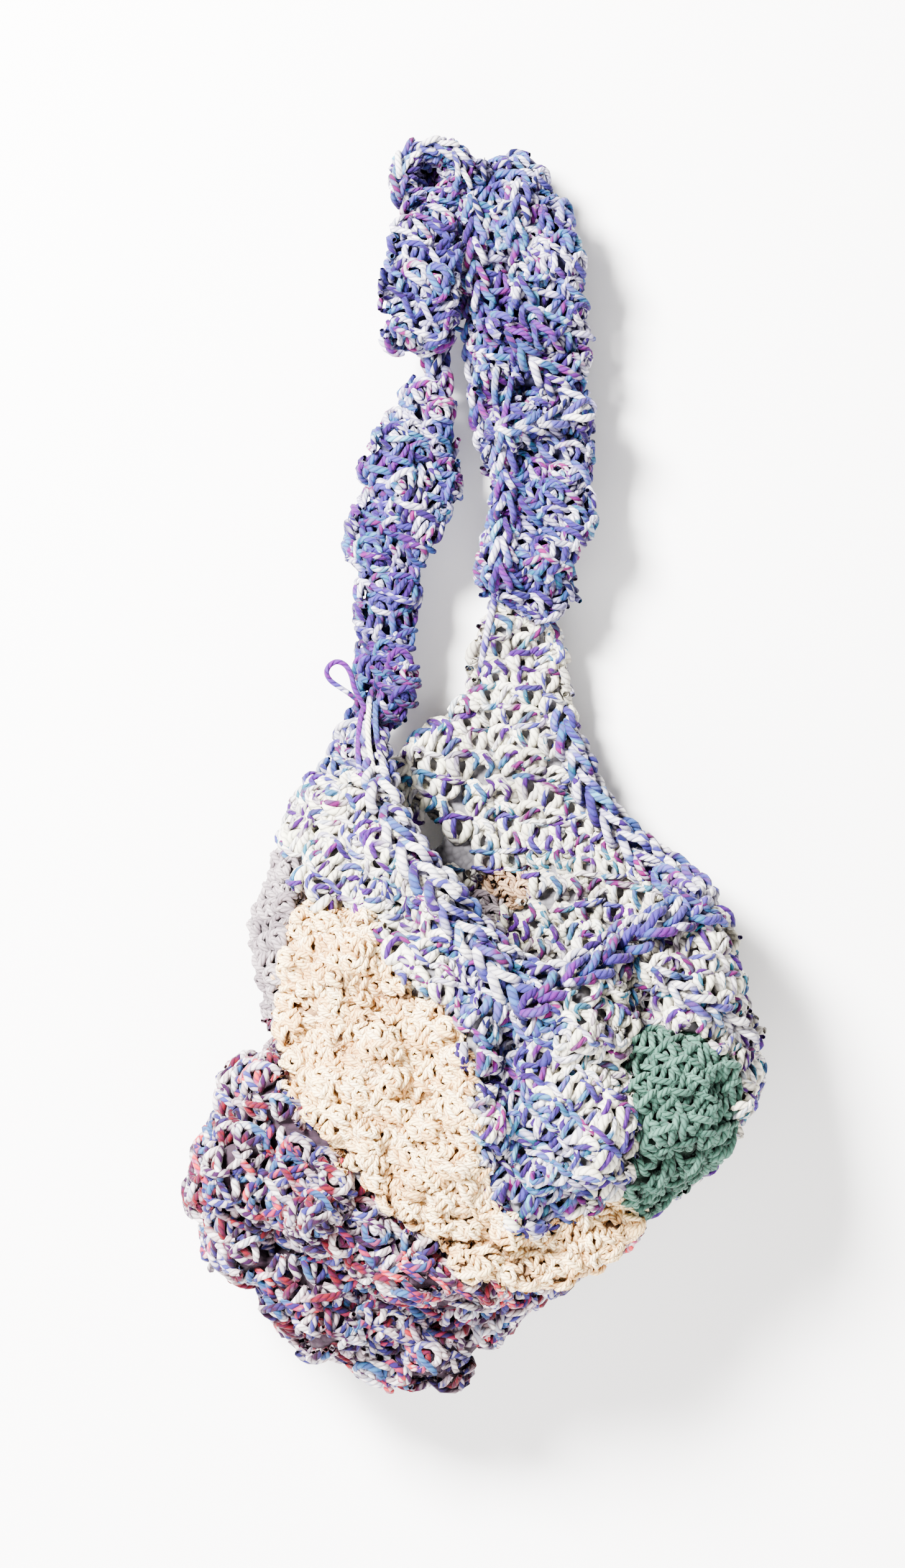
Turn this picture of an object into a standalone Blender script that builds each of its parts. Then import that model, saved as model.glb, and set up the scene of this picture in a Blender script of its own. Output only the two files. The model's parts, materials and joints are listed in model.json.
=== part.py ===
"""Freeform crochet shoulder bag, hanging from a pin by its long band.

The body is one hollow pouch. Its wall follows a table of level sections, with puffs and creases
laid over it, and the crochet patches are cut from that wall along their outlines. The band, its
folds and its twisted stretch are lofts along a route. +Z is up, the front faces -Y, and the
origin is the point where the pin carries the band. Lengths are metres.
"""

import math

import bmesh
import bpy
import numpy as np
from mathutils import Matrix, Vector

# Driving dimensions
BODY_WIDTH = 0.320
BODY_HEIGHT = 0.452
BODY_DEPTH = 0.124
BODY_DROP = 0.243
BODY_SHIFT = -0.004
BACK_PLANE = 0.014
WALL = 0.007
EDGING_RADIUS = 0.0050
CUFF_RADIUS = 0.0095
BAND_WIDTH = 0.056
BAND_THICKNESS = 0.015
FOLD_LAYER = 0.0095
ROPE_WIDTH = 0.0105
ROPE_THICKNESS = 0.0075
EDGE_ROLL_RADIUS = 0.0042
CUP_RADII = (0.0250, 0.0215, 0.0215)
CUP_SHELL = 0.0085
GAP = 0.0003

# How far each patch stands out of the common wall
BAND_LIFT = 0.0050
NATURAL_LIFT = 0.0035
SAGE_LIFT = 0.0010
BASE_LIFT = -0.0010

# Mesh fineness
ROW_PITCH = 0.0145
COLUMN_COUNT = 17
ROUND_SIDES = 8
SECTION_POWER = 2.3
PATCH_MARGIN = 0.02

# Level sections of the pouch: height down from the apex as a share of BODY_HEIGHT, left and right
# ends as shares of BODY_WIDTH, back and front as shares of BODY_DEPTH in front of BACK_PLANE
SECTIONS = (
    ("down", "left", "right", "back", "front"),
    (-0.01, 0.35, 0.77, 0.04, 0.25),
    (0.07, 0.31, 0.77, 0.03, 0.25),
    (0.15, 0.26, 0.78, 0.02, 0.26),
    (0.19, 0.245, 0.79, 0.02, 0.33),
    (0.23, 0.22, 0.81, 0.02, 0.45),
    (0.27, 0.18, 0.83, 0.02, 0.57),
    (0.31, 0.155, 0.86, 0.01, 0.67),
    (0.35, 0.135, 0.89, 0.00, 0.75),
    (0.39, 0.11, 0.92, 0.00, 0.81),
    (0.43, 0.10, 0.945, 0.00, 0.86),
    (0.47, 0.105, 0.96, 0.00, 0.90),
    (0.51, 0.125, 0.97, 0.00, 0.94),
    (0.55, 0.135, 0.99, 0.00, 0.97),
    (0.59, 0.09, 1.00, 0.00, 0.98),
    (0.63, 0.045, 0.99, 0.00, 1.00),
    (0.67, 0.02, 0.965, 0.01, 1.00),
    (0.71, 0.01, 0.93, 0.01, 1.00),
    (0.75, 0.00, 0.86, 0.02, 0.98),
    (0.79, 0.00, 0.775, 0.03, 0.95),
    (0.83, 0.02, 0.765, 0.05, 0.90),
    (0.86, 0.07, 0.69, 0.08, 0.85),
    (0.89, 0.125, 0.60, 0.12, 0.78),
    (0.92, 0.14, 0.565, 0.16, 0.71),
    (0.95, 0.175, 0.53, 0.22, 0.63),
    (0.97, 0.29, 0.49, 0.29, 0.55),
    (0.99, 0.37, 0.45, 0.37, 0.48),
)

# Puffs (+) and creases (-): place and half widths as shares of the body box, turn in degrees,
# height as a share of BODY_DEPTH, and the side of the pouch that they are on
RELIEF = (
    ("across", "down", "half_wide", "half_tall", "turn", "lift", "side"),
    (0.08, 0.71, 0.08, 0.072, 0.0, 0.07, "front"),
    (0.11, 0.64, 0.06, 0.032, 30.0, 0.05, "front"),
    (0.21, 0.77, 0.07, 0.046, 0.0, 0.11, "front"),
    (0.40, 0.86, 0.13, 0.021, -6.0, 0.09, "front"),
    (0.36, 0.825, 0.10, 0.010, -10.0, -0.05, "front"),
    (0.32, 0.900, 0.09, 0.010, 0.0, -0.07, "front"),
    (0.22, 0.92, 0.08, 0.032, 0.0, 0.07, "both"),
    (0.41, 0.97, 0.05, 0.030, 0.0, 0.07, "both"),
    (0.33, 0.955, 0.022, 0.032, 0.0, -0.11, "both"),
    (0.24, 0.46, 0.07, 0.040, 0.0, 0.06, "front"),
    (0.32, 0.53, 0.06, 0.012, 15.0, -0.07, "front"),
    (0.26, 0.59, 0.08, 0.032, 0.0, 0.05, "front"),
    (0.37, 0.70, 0.07, 0.048, 0.0, 0.05, "front"),
    (0.50, 0.79, 0.07, 0.028, -20.0, 0.05, "front"),
    (0.69, 0.785, 0.07, 0.012, 0.0, -0.09, "front"),
    (0.52, 0.53, 0.09, 0.048, 0.0, 0.08, "front"),
    (0.70, 0.56, 0.05, 0.032, 0.0, 0.08, "front"),
    (0.60, 0.63, 0.08, 0.040, 0.0, 0.05, "front"),
    (0.71, 0.71, 0.05, 0.036, 0.0, 0.06, "front"),
    (0.79, 0.515, 0.05, 0.029, 0.0, -0.14, "front"),
    (0.89, 0.48, 0.08, 0.022, -12.0, 0.07, "front"),
    (0.87, 0.545, 0.09, 0.011, -10.0, -0.07, "front"),
    (0.85, 0.67, 0.07, 0.048, 0.0, 0.05, "front"),
    (0.24, 0.29, 0.06, 0.032, 0.0, 0.05, "front"),
    (0.48, 0.20, 0.07, 0.040, 0.0, 0.04, "back"),
    (0.56, 0.12, 0.04, 0.020, 20.0, -0.03, "back"),
    (0.35, 0.42, 0.10, 0.050, 0.0, 0.05, "back"),
    (0.60, 0.50, 0.12, 0.030, 10.0, -0.04, "back"),
    (0.65, 0.66, 0.10, 0.060, 0.0, 0.05, "back"),
    (0.25, 0.66, 0.10, 0.045, 0.0, 0.05, "back"),
    (0.22, 0.82, 0.09, 0.040, 0.0, 0.06, "back"),
    (0.45, 0.84, 0.10, 0.020, 0.0, -0.05, "back"),
)

# Patch outlines seen from the front: shares of BODY_WIDTH across and of BODY_HEIGHT down
FRONT_RIM = (
    (0.31, 0.172), (0.31, 0.195), (0.32, 0.23), (0.355, 0.29), (0.405, 0.347), (0.465, 0.394),
    (0.52, 0.438), (0.565, 0.472), (0.605, 0.491), (0.65, 0.483), (0.70, 0.458), (0.77, 0.43),
    (0.85, 0.403), (0.90, 0.387),
)
BACK_RIM = (
    (0.895, 0.373), (0.84, 0.343), (0.78, 0.317), (0.74, 0.287), (0.71, 0.255), (0.685, 0.215),
    (0.675, 0.19),
)
FRONT_BAND = FRONT_RIM[2:12] + (
    (0.765, 0.51), (0.76, 0.59), (0.77, 0.67), (0.76, 0.74), (0.715, 0.755), (0.68, 0.775),
    (0.61, 0.79), (0.555, 0.772), (0.50, 0.71), (0.495, 0.65), (0.49, 0.59), (0.465, 0.525),
    (0.375, 0.50), (0.33, 0.43), (0.31, 0.405), (0.20, 0.382), (0.13, 0.345), (0.10, 0.27),
    (0.10, 0.229),
)
GREY_PATCH = (
    (0.04, 0.31), (0.16, 0.312), (0.19, 0.35), (0.20, 0.382), (0.165, 0.43), (0.16, 0.48),
    (0.157, 0.545), (0.04, 0.545),
)
NATURAL_PATCH = (
    (0.13, 0.35), (0.20, 0.37), (0.42, 0.41), (0.65, 0.59), (0.765, 0.74), (0.77, 0.80),
    (0.65, 0.91), (0.42, 0.91), (0.13, 0.67),
)
SAGE_PATCH = (
    (0.755, 0.54), (0.83, 0.548), (0.93, 0.57), (0.95, 0.605), (0.942, 0.68), (0.90, 0.73),
    (0.85, 0.78), (0.755, 0.78), (0.745, 0.59),
)
SIDE_PANEL = (
    (0.74, 0.438), (0.85, 0.403), (0.90, 0.387), (1.10, 0.36), (1.10, 0.83), (0.78, 0.83),
    (0.78, 0.75), (0.74, 0.67),
)
CUFF_ROUTE = ((0.455, 0.818), (0.53, 0.838), (0.61, 0.843), (0.68, 0.832), (0.735, 0.805), (0.765, 0.772))
BASE_POUCH = (
    (-0.06, 0.54), (0.158, 0.54), (0.163, 0.625), (0.262, 0.695), (0.352, 0.772),
) + CUFF_ROUTE + ((0.80, 0.80), (0.95, 0.80), (0.95, 1.10), (-0.06, 1.10))
NECK_GATHER = ((0.15, 0.162), (0.32, 0.162), (0.318, 0.19), (0.324, 0.2285), (0.15, 0.2285))
BACK_PANEL = (
    (-0.06, 0.225), (0.31, 0.225), (0.352, 0.22), (0.382, 0.20), (0.41, 0.176), (0.46, 0.145),
    (0.494, 0.112), (0.505, 0.072), (0.528, 0.032), (0.543, 0.002), (0.612, 0.002), (0.63, 0.032),
    (0.652, 0.072), (0.667, 0.152),
) + BACK_RIM[::-1] + ((1.10, 0.40), (1.10, 1.10), (-0.06, 1.10))
TAN_INSET = ((0.49, 0.352), (0.585, 0.352), (0.60, 0.39), (0.55, 0.402), (0.53, 0.372), (0.485, 0.372))
GREY_INSET = ((0.475, 0.374), (0.535, 0.374), (0.55, 0.402), (0.535, 0.43), (0.48, 0.422))

# Holes through the back panel: place as above, half width and half height as shares of BODY_WIDTH
BACK_HOLES = (
    ("across", "down", "half_wide", "half_tall"),
    (0.412, 0.303, 0.026, 0.030),
    (0.472, 0.262, 0.010, 0.016),
    (0.490, 0.333, 0.014, 0.011),
)

# Where the two branches of the band join the pouch: shares across and down as above
NECK_END = (0.297, 0.165)
APEX_END = (0.575, 0.010)

# Band tables. down: share of the way from the pin to where the stretch ends; sway: centre beside
# the straight line between those ends; forward: towards the front; wide: width. The last three
# are shares of BAND_WIDTH. turn: degrees about the route
LEFT_BAND = (
    ("down", "sway", "forward", "wide", "turn"),
    (0.38, -0.03, 0.02, 0.19, 0.0),
    (0.40, -0.11, 0.04, 0.40, 0.0),
    (0.43, -0.12, 0.06, 0.50, -6.0),
    (0.475, -0.14, 0.10, 0.73, -8.0),
    (0.51, -0.11, 0.12, 0.84, -6.0),
    (0.545, -0.08, 0.12, 0.95, 0.0),
    (0.59, -0.16, 0.12, 0.80, 6.0),
    (0.645, -0.17, 0.10, 0.77, 8.0),
    (0.70, -0.12, 0.08, 0.60, 0.0),
    (0.76, -0.09, 0.06, 0.52, -8.0),
    (0.815, -0.04, 0.06, 0.53, 0.0),
    (0.875, 0.03, 0.06, 0.52, 8.0),
    (0.93, 0.11, 0.06, 0.50, 0.0),
    (0.965, 0.07, 0.05, 0.46, -8.0),
    (0.985, 0.00, 0.04, 0.34, 0.0),
    (1.0, 0.0, 0.04, 0.30, 0.0),
)
RIGHT_UPPER_BAND = (
    ("down", "sway", "forward", "wide", "turn"),
    (-0.03, 0.41, -0.12, 0.36, 0.0),
    (-0.01, 0.35, -0.02, 0.66, 0.0),
    (0.03, 0.30, 0.07, 0.86, 0.0),
    (0.085, 0.27, 0.13, 1.05, 0.0),
    (0.175, 0.31, 0.16, 1.15, 4.0),
    (0.26, 0.33, 0.16, 1.13, 0.0),
    (0.35, 0.33, 0.15, 1.10, -4.0),
    (0.42, 0.34, 0.15, 1.06, -8.0),
    (0.475, 0.34, 0.08, 1.03, -10.0),
    (0.52, 0.34, -0.02, 0.98, -6.0),
)
RIGHT_LOWER_BAND = (
    ("down", "sway", "forward", "wide", "turn"),
    (0.54, 0.37, 0.12, 0.92, 4.0),
    (0.56, 0.38, 0.24, 0.98, 4.0),
    (0.59, 0.39, 0.22, 0.98, 0.0),
    (0.63, 0.39, 0.10, 0.96, 0.0),
    (0.70, 0.38, 0.14, 0.98, 0.0),
    (0.765, 0.33, 0.16, 0.95, 4.0),
    (0.83, 0.23, 0.14, 0.87, 8.0),
    (0.90, 0.16, 0.14, 0.84, 4.0),
    (0.955, 0.14, 0.12, 0.85, 0.0),
    (0.985, 0.09, 0.10, 0.72, 0.0),
    (1.0, 0.03, 0.06, 0.46, 0.0),
)
# The doubled stretch under the cup, as shares of BAND_WIDTH: across, up and forward from the pin
FOLD_ROUTE = (
    ("across", "up", "forward", "wide"),
    (-0.48, -0.27, 0.22, 0.46),
    (-0.56, -0.45, 0.34, 0.56),
    (-0.62, -0.77, 0.42, 0.64),
    (-0.67, -1.09, 0.45, 0.69),
    (-0.69, -1.41, 0.43, 0.69),
    (-0.71, -1.56, 0.34, 0.64),
    (-0.69, -1.61, 0.18, 0.58),
    (-0.62, -1.51, 0.04, 0.54),
    (-0.54, -1.22, -0.03, 0.50),
    (-0.48, -0.90, -0.05, 0.46),
    (-0.45, -0.70, -0.05, 0.42),
)
SADDLE_ROUTE = (
    ("across", "up", "forward", "wide"),
    (-0.24, -0.34, 0.04, 0.34),
    (-0.14, -0.16, 0.06, 0.44),
    (-0.03, -0.02, 0.06, 0.48),
    (0.10, 0.04, 0.05, 0.46),
    (0.22, -0.06, 0.04, 0.40),
)
EDGE_ROLL_ROUTE = (
    ("across", "up", "forward"),
    (-0.12, -1.22, 0.05),
    (-0.09, -1.60, 0.02),
    (-0.09, -1.95, -0.01),
    (-0.05, -2.30, -0.01),
    (0.03, -2.65, 0.02),
)
CUP_CENTRE = (-0.53, 0.06, 0.06)
CUP_HOLLOW_SHIFT = (0.05, 0.02, 0.52)
CUP_HOLLOW_REACH = 0.26
SADDLE_THICKNESS = 0.0110
BAND_CURL = 0.0018
SADDLE_TWIST = 62.0
ROPE_TURNS = 1.5
ROPE_ROWS = 15
ROPE_TOP = (-0.48, -1.12, -0.14)

# Name: colour, roughness
FINISHES = {
    "ivory_yarn": ((0.80, 0.78, 0.72), 0.92),
    "violet_yarn": ((0.42, 0.38, 0.66), 0.90),
    "cream_cotton": ((0.84, 0.74, 0.58), 0.90),
    "lavender_grey_yarn": ((0.66, 0.63, 0.66), 0.92),
    "tan_yarn": ((0.80, 0.66, 0.52), 0.92),
    "sage_yarn": ((0.26, 0.46, 0.38), 0.90),
    "plum_coral_yarn": ((0.40, 0.28, 0.42), 0.90),
    "edging_yarn": ((0.45, 0.47, 0.72), 0.90),
}


def column(table, name):
    """One named column of a table whose first row holds the names."""
    index = table[0].index(name)
    return [row[index] for row in table[1:]]


def rows(table):
    """The rows of a table as dictionaries."""
    return [dict(zip(table[0], row)) for row in table[1:]]


def smooth_read(where, known, values):
    """Values of a smooth curve through the known ones, at every place asked for."""
    slopes = np.gradient(np.asarray(values, float), np.asarray(known, float))
    where = np.clip(np.asarray(where, float), known[0], known[-1])
    left = np.clip(np.searchsorted(known, where, side="right") - 1, 0, len(known) - 2)
    known, values = np.asarray(known, float), np.asarray(values, float)
    span = known[left + 1] - known[left]
    t = (where - known[left]) / span
    return (
        values[left] * (2 * t**3 - 3 * t**2 + 1)
        + slopes[left] * span * (t**3 - 2 * t**2 + t)
        + values[left + 1] * (3 * t**2 - 2 * t**3)
        + slopes[left + 1] * span * (t**3 - t**2)
    )


def body_x(across):
    return BODY_SHIFT + (across - 0.5) * BODY_WIDTH


def body_z(down):
    return -BODY_DROP - down * BODY_HEIGHT


def section(down):
    """Centre across, centre deep, half width and half depth of the pouch at each height share."""
    known = column(SECTIONS, "down")
    left, right, back, front = (
        smooth_read(down, known, column(SECTIONS, name)) for name in ("left", "right", "back", "front")
    )
    near, far = BACK_PLANE - front * BODY_DEPTH, BACK_PLANE - back * BODY_DEPTH
    half_wide = (right - left) * BODY_WIDTH / 2
    return body_x((left + right) / 2), (near + far) / 2, half_wide, (far - near) / 2


def relief_at(x, z, frontness):
    """How far the puffs and creases move the wall at these points."""
    total = np.zeros_like(x)
    front_part = np.clip(frontness * 2.0, 0.0, 1.0)
    back_part = np.clip(-frontness * 2.0, 0.0, 1.0)
    share = {"front": front_part, "back": back_part, "both": np.ones_like(x)}
    for puff in rows(RELIEF):
        turn = math.radians(puff["turn"])
        dx, dz = x - body_x(puff["across"]), z - body_z(puff["down"])
        along = (dx * math.cos(turn) + dz * math.sin(turn)) / (puff["half_wide"] * BODY_WIDTH)
        beside = (dz * math.cos(turn) - dx * math.sin(turn)) / (puff["half_tall"] * BODY_HEIGHT)
        total += puff["lift"] * BODY_DEPTH * np.exp(-(along**2) - beside**2) * share[puff["side"]]
    return total


def wall_points(down, angle):
    """Points on the pouch for height shares and angles, with the outward direction there."""
    centre_x, centre_y, half_wide, half_deep = section(down)
    power = 2.0 / SECTION_POWER
    cosine, sine = np.cos(angle), np.sin(angle)
    x = centre_x + half_wide * np.sign(cosine) * np.abs(cosine) ** power
    y = centre_y + half_deep * np.sign(sine) * np.abs(sine) ** power
    return np.stack([x, y, body_z(down)], axis=-1), -sine


def outward(points):
    """Unit directions square to a grid of points, pointing out of the pouch."""
    up = np.gradient(points, axis=0)
    around = np.gradient(points, axis=1)
    normal = np.cross(up, around)
    return normal / np.maximum(np.linalg.norm(normal, axis=-1, keepdims=True), 1e-9)


def mesh_object(name, verts, faces):
    """An object of one closed mesh, turned right side out."""
    mesh = bpy.data.meshes.new(name)
    mesh.from_pydata([tuple(map(float, v)) for v in verts], [], faces)
    work = bmesh.new()
    work.from_mesh(mesh)
    bmesh.ops.recalc_face_normals(work, faces=work.faces)
    bmesh.ops.triangulate(work, faces=[face for face in work.faces if len(face.verts) > 4])
    if work.calc_volume(signed=True) < 0:
        bmesh.ops.reverse_faces(work, faces=work.faces)
    work.to_mesh(mesh)
    work.free()
    return bpy.data.objects.new(name, mesh)


def half_gap_angle(half_deep):
    """The angle that leaves half a gap between the front and back halves at the side of the pouch."""
    return (GAP / 2 / half_deep) ** (SECTION_POWER / 2)


def wall_piece(name, top, bottom, side, lift):
    """A stretch of the pouch wall between two height shares: its front, its back, or all round."""
    row_count = max(3, round((bottom - top) * BODY_HEIGHT / ROW_PITCH) + 1)
    down = np.linspace(top, bottom, row_count)[:, None]
    whole = side == "full"
    steps = 2 * COLUMN_COUNT if whole else COLUMN_COUNT + 1
    share = np.arange(steps)[None, :] / (steps if whole else steps - 1)
    if whole:
        angle = 2 * math.pi * share + 0 * down
    else:
        inset = half_gap_angle(section(down)[3])
        start = inset if side == "back" else math.pi + inset
        angle = start + (math.pi - 2 * inset) * share
    points, frontness = wall_points(down + 0 * share, angle)
    if whole:
        wrapped = np.concatenate([points[:, -1:], points, points[:, :1]], axis=1)
        normal = outward(wrapped)[:, 1:-1]
    else:
        normal = outward(points)
        normal[:, 0, 1] = 0.0
        normal[:, -1, 1] = 0.0
        normal /= np.linalg.norm(normal, axis=-1, keepdims=True)
    moved = relief_at(points[..., 0], points[..., 2], frontness)[..., None]
    outer = points + normal * (moved + lift)
    inner = points + normal * (moved + lift - WALL)
    closes_below = whole and bottom >= SECTIONS[-1][0]
    return shell_from_grids(name, outer, inner, whole, closes_below)


def shell_from_grids(name, outer, inner, whole, closes_below):
    """A closed solid between an outer and an inner grid of points."""
    row_count, steps = outer.shape[:2]
    verts = [*outer.reshape(-1, 3), *inner.reshape(-1, 3)]
    shift = row_count * steps

    def at(row, step):
        return row * steps + step % steps

    faces = []
    for row in range(row_count - 1):
        for step in range(steps if whole else steps - 1):
            quad = [at(row, step), at(row, step + 1), at(row + 1, step + 1), at(row + 1, step)]
            faces.append(quad)
            faces.append([shift + v for v in reversed(quad)])
    edge = [at(0, step) for step in range(steps)]
    if whole:
        faces += strip(edge + edge[:1], shift)
        last = [at(row_count - 1, step) for step in range(steps)]
        if closes_below:
            verts += [outer[-1].mean(axis=0), inner[-1].mean(axis=0)]
            for step in range(steps):
                pair = [last[step], last[(step + 1) % steps]]
                faces.append([*pair, 2 * shift])
                faces.append([shift + pair[1], shift + pair[0], 2 * shift + 1])
        else:
            faces += strip(last + last[:1], shift)
    else:
        edge += [at(row, steps - 1) for row in range(1, row_count)]
        edge += [at(row_count - 1, step) for step in range(steps - 2, -1, -1)]
        edge += [at(row, 0) for row in range(row_count - 2, -1, -1)]
        faces += strip(edge, shift)
    return mesh_object(name, verts, faces)


def strip(loop, shift):
    """Faces between a closed loop on the outer grid and the same loop on the inner grid."""
    return [[a, b, b + shift, a + shift] for a, b in zip(loop, loop[1:])]


def outline_points(outline, grow=0.0):
    """An outline as X and Z, moved outwards by grow, square to its sides."""
    points = [Vector((body_x(across), body_z(down))) for across, down in outline]
    if not grow:
        return points
    area = sum(a.x * b.y - b.x * a.y for a, b in zip(points, points[1:] + points[:1]))
    turn = 1.0 if area > 0 else -1.0
    moved = []
    for before, here, after in zip(points[-1:] + points[:-1], points, points[1:] + points[:1]):
        one, two = (here - before).normalized(), (after - here).normalized()
        side = (Vector((one.y, -one.x)) + Vector((two.y, -two.x))).normalized() * turn
        square = Vector((one.y, -one.x)) * turn
        moved.append(here + side * grow / max(0.4, side.dot(square)))
    return moved


def outline_cutter(name, outline, grow=0.0):
    """A prism along Y over an outline, past both sides of the pouch."""
    reach = BODY_DEPTH + BACK_PLANE + BAND_WIDTH
    points = outline_points(outline, grow)
    count = len(points)
    verts = [(p.x, y, p.y) for y in (-reach, reach) for p in points]
    faces = [list(range(count)), list(range(2 * count - 1, count - 1, -1))]
    faces += [[i, (i + 1) % count, (i + 1) % count + count, i + count] for i in range(count)]
    return mesh_object(name, verts, faces)


def cut(target, cutter, operation="DIFFERENCE"):
    """Applies one Boolean to the target. The exact solver empties a patch that a prism only passes
    beside, so the manifold one is used: every mesh here is closed.
    """
    helpers.objects.link(cutter)
    cutter.hide_render = True
    cutter.display_type = "WIRE"
    step = target.modifiers.new("cut", "BOOLEAN")
    step.operation = operation
    step.object = cutter
    step.solver = "MANIFOLD"
    bpy.context.view_layer.update()
    graph = bpy.context.evaluated_depsgraph_get()
    result = bpy.data.meshes.new_from_object(target.evaluated_get(graph))
    target.modifiers.clear()
    target.data = result
    bpy.data.objects.remove(cutter)


def drop_scraps(piece):
    """Keeps the largest body of a piece and drops the slivers that its cuts left beside it."""
    work = bmesh.new()
    work.from_mesh(piece.data)
    left, groups = set(work.verts), []
    while left:
        group, edge = set(), {left.pop()}
        while edge:
            group |= edge
            edge = {e.other_vert(v) for v in edge for e in v.link_edges} - group
        left -= group
        groups.append(group)
    groups.sort(key=len)
    bmesh.ops.delete(work, geom=[v for group in groups[:-1] for v in group], context="VERTS")
    work.to_mesh(piece.data)
    work.free()


def piece_from_wall(name, side, lift, outline, taken, finish):
    """A patch: the wall inside its outline, less the outlines of the patches laid before it."""
    top = max(SECTIONS[1][0], min(down for _, down in outline) - PATCH_MARGIN)
    bottom = min(SECTIONS[-1][0], max(down for _, down in outline) + PATCH_MARGIN)
    patch = wall_piece(name, top, bottom, side, lift)
    body.objects.link(patch)
    cut(patch, outline_cutter(name + "_outline", outline), "INTERSECT")
    for number, other in enumerate(taken):
        cut(patch, outline_cutter(f"{name}_less_{number}", other, GAP))
    dress(patch, finish)
    return patch


def loft(name, rings):
    """A closed solid through rings of the same count, with flat ends."""
    count = len(rings[0])
    verts = [v for ring in rings for v in ring]
    faces = []
    for row in range(len(rings) - 1):
        for i in range(count):
            a, b = row * count + i, row * count + (i + 1) % count
            faces.append([a, b, b + count, a + count])
    faces.append(list(range(count)))
    faces.append([(len(rings) - 1) * count + i for i in reversed(range(count))])
    return mesh_object(name, verts, faces)


def band_ring(centre, across, square, width, thickness, curl=0.0):
    """One section of the band: flat in the middle, rounded at both edges, edges curled by curl."""
    ring = []
    stations = (-1.0, -0.72, -0.36, 0.0, 0.36, 0.72, 1.0)
    for face in (1.0, -1.0):
        for station in stations[:: int(face)]:
            half = thickness / 2 * math.sqrt(1.0 - 0.8 * station**4)
            bend = curl * (station**2 - 0.3)
            ring.append(centre + across * (width / 2 * station) + square * (face * half + bend))
    return ring


def band_loft(name, centres, widths, thickness, turns, curl=0.0, across=Vector((1, 0, 0))):
    """A band along centres. Each section is square to the route and turned about it."""
    rings = []
    for i, centre in enumerate(centres):
        ahead = centres[min(i + 1, len(centres) - 1)] - centres[max(i - 1, 0)]
        along = ahead.normalized()
        side = (across - along * across.dot(along)).normalized()
        side = Matrix.Rotation(math.radians(turns[i]), 3, along) @ side
        deep = thickness * (1.0 if 0 < i < len(centres) - 1 else 0.7)
        rings.append(band_ring(centre, side, along.cross(side), widths[i], deep, curl))
    return loft(name, rings)


def finer(table, names, per_row):
    """The named columns read along a smooth curve through the rows of a table."""
    known = list(range(len(table) - 1))
    where = np.linspace(0, known[-1], known[-1] * per_row + 1)
    return [smooth_read(where, known, column(table, name)) for name in names]


def hanging_band(name, table, end_x, end_z, grow=0.0):
    """A branch of the band between the pin and the point where it joins the pouch."""
    per_row = 1 if len(table) > ROPE_ROWS else 2
    down, sway, forward, wide, turn = finer(table, ("down", "sway", "forward", "wide", "turn"), per_row)
    centres = [
        Vector((end_x * d + s * BAND_WIDTH, -f * BAND_WIDTH, end_z * d))
        for d, s, f in zip(down, sway, forward)
    ]
    centres[0] += (centres[0] - centres[1]).normalized() * grow
    centres[-1] += (centres[-1] - centres[-2]).normalized() * grow
    widths = [w * BAND_WIDTH + 2 * grow for w in wide]
    return band_loft(name, centres, widths, BAND_THICKNESS + 2 * grow, turn, BAND_CURL)


def route_centres(table, per_row=2):
    across, up, forward = finer(table, ("across", "up", "forward"), per_row)
    return [
        Vector((a * BAND_WIDTH, -f * BAND_WIDTH, u * BAND_WIDTH)) for a, u, f in zip(across, up, forward)
    ]


def fold_band(name, grow=0.0):
    """The band doubled back on itself, open at its side."""
    centres = route_centres(FOLD_ROUTE)
    (wide,) = finer(FOLD_ROUTE, ("wide",), 2)
    widths = [w * BAND_WIDTH + 2 * grow for w in wide]
    return band_loft(name, centres, widths, FOLD_LAYER + 2 * grow, [0.0] * len(centres))


def saddle_band(name, grow=0.0):
    """The short stretch that lies over the pin."""
    centres = route_centres(SADDLE_ROUTE)
    (wide,) = finer(SADDLE_ROUTE, ("wide",), 2)
    widths = [w * BAND_WIDTH + 2 * grow for w in wide]
    turns = [SADDLE_TWIST] * len(centres)
    return band_loft(name, centres, widths, SADDLE_THICKNESS + 2 * grow, turns)


def rope(name, bottom, grow=0.0):
    """The tightly twisted stretch, an oval section that turns as it goes down."""
    across_top, up_top, forward_top = ROPE_TOP
    top = Vector((across_top, -forward_top, up_top)) * BAND_WIDTH
    rings = []
    for row in range(ROPE_ROWS):
        share = row / (ROPE_ROWS - 1)
        centre = top.lerp(bottom, share)
        turn = 2 * math.pi * ROPE_TURNS * share
        across = Vector((math.cos(turn), math.sin(turn), 0))
        square = Vector((-math.sin(turn), math.cos(turn), 0))
        rings.append(
            [
                centre
                + across * math.cos(a) * (ROPE_WIDTH / 2 + grow)
                + square * math.sin(a) * (ROPE_THICKNESS / 2 + grow)
                for a in (2 * math.pi * k / ROUND_SIDES for k in range(ROUND_SIDES))
            ]
        )
    return loft(name, rings)


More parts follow.
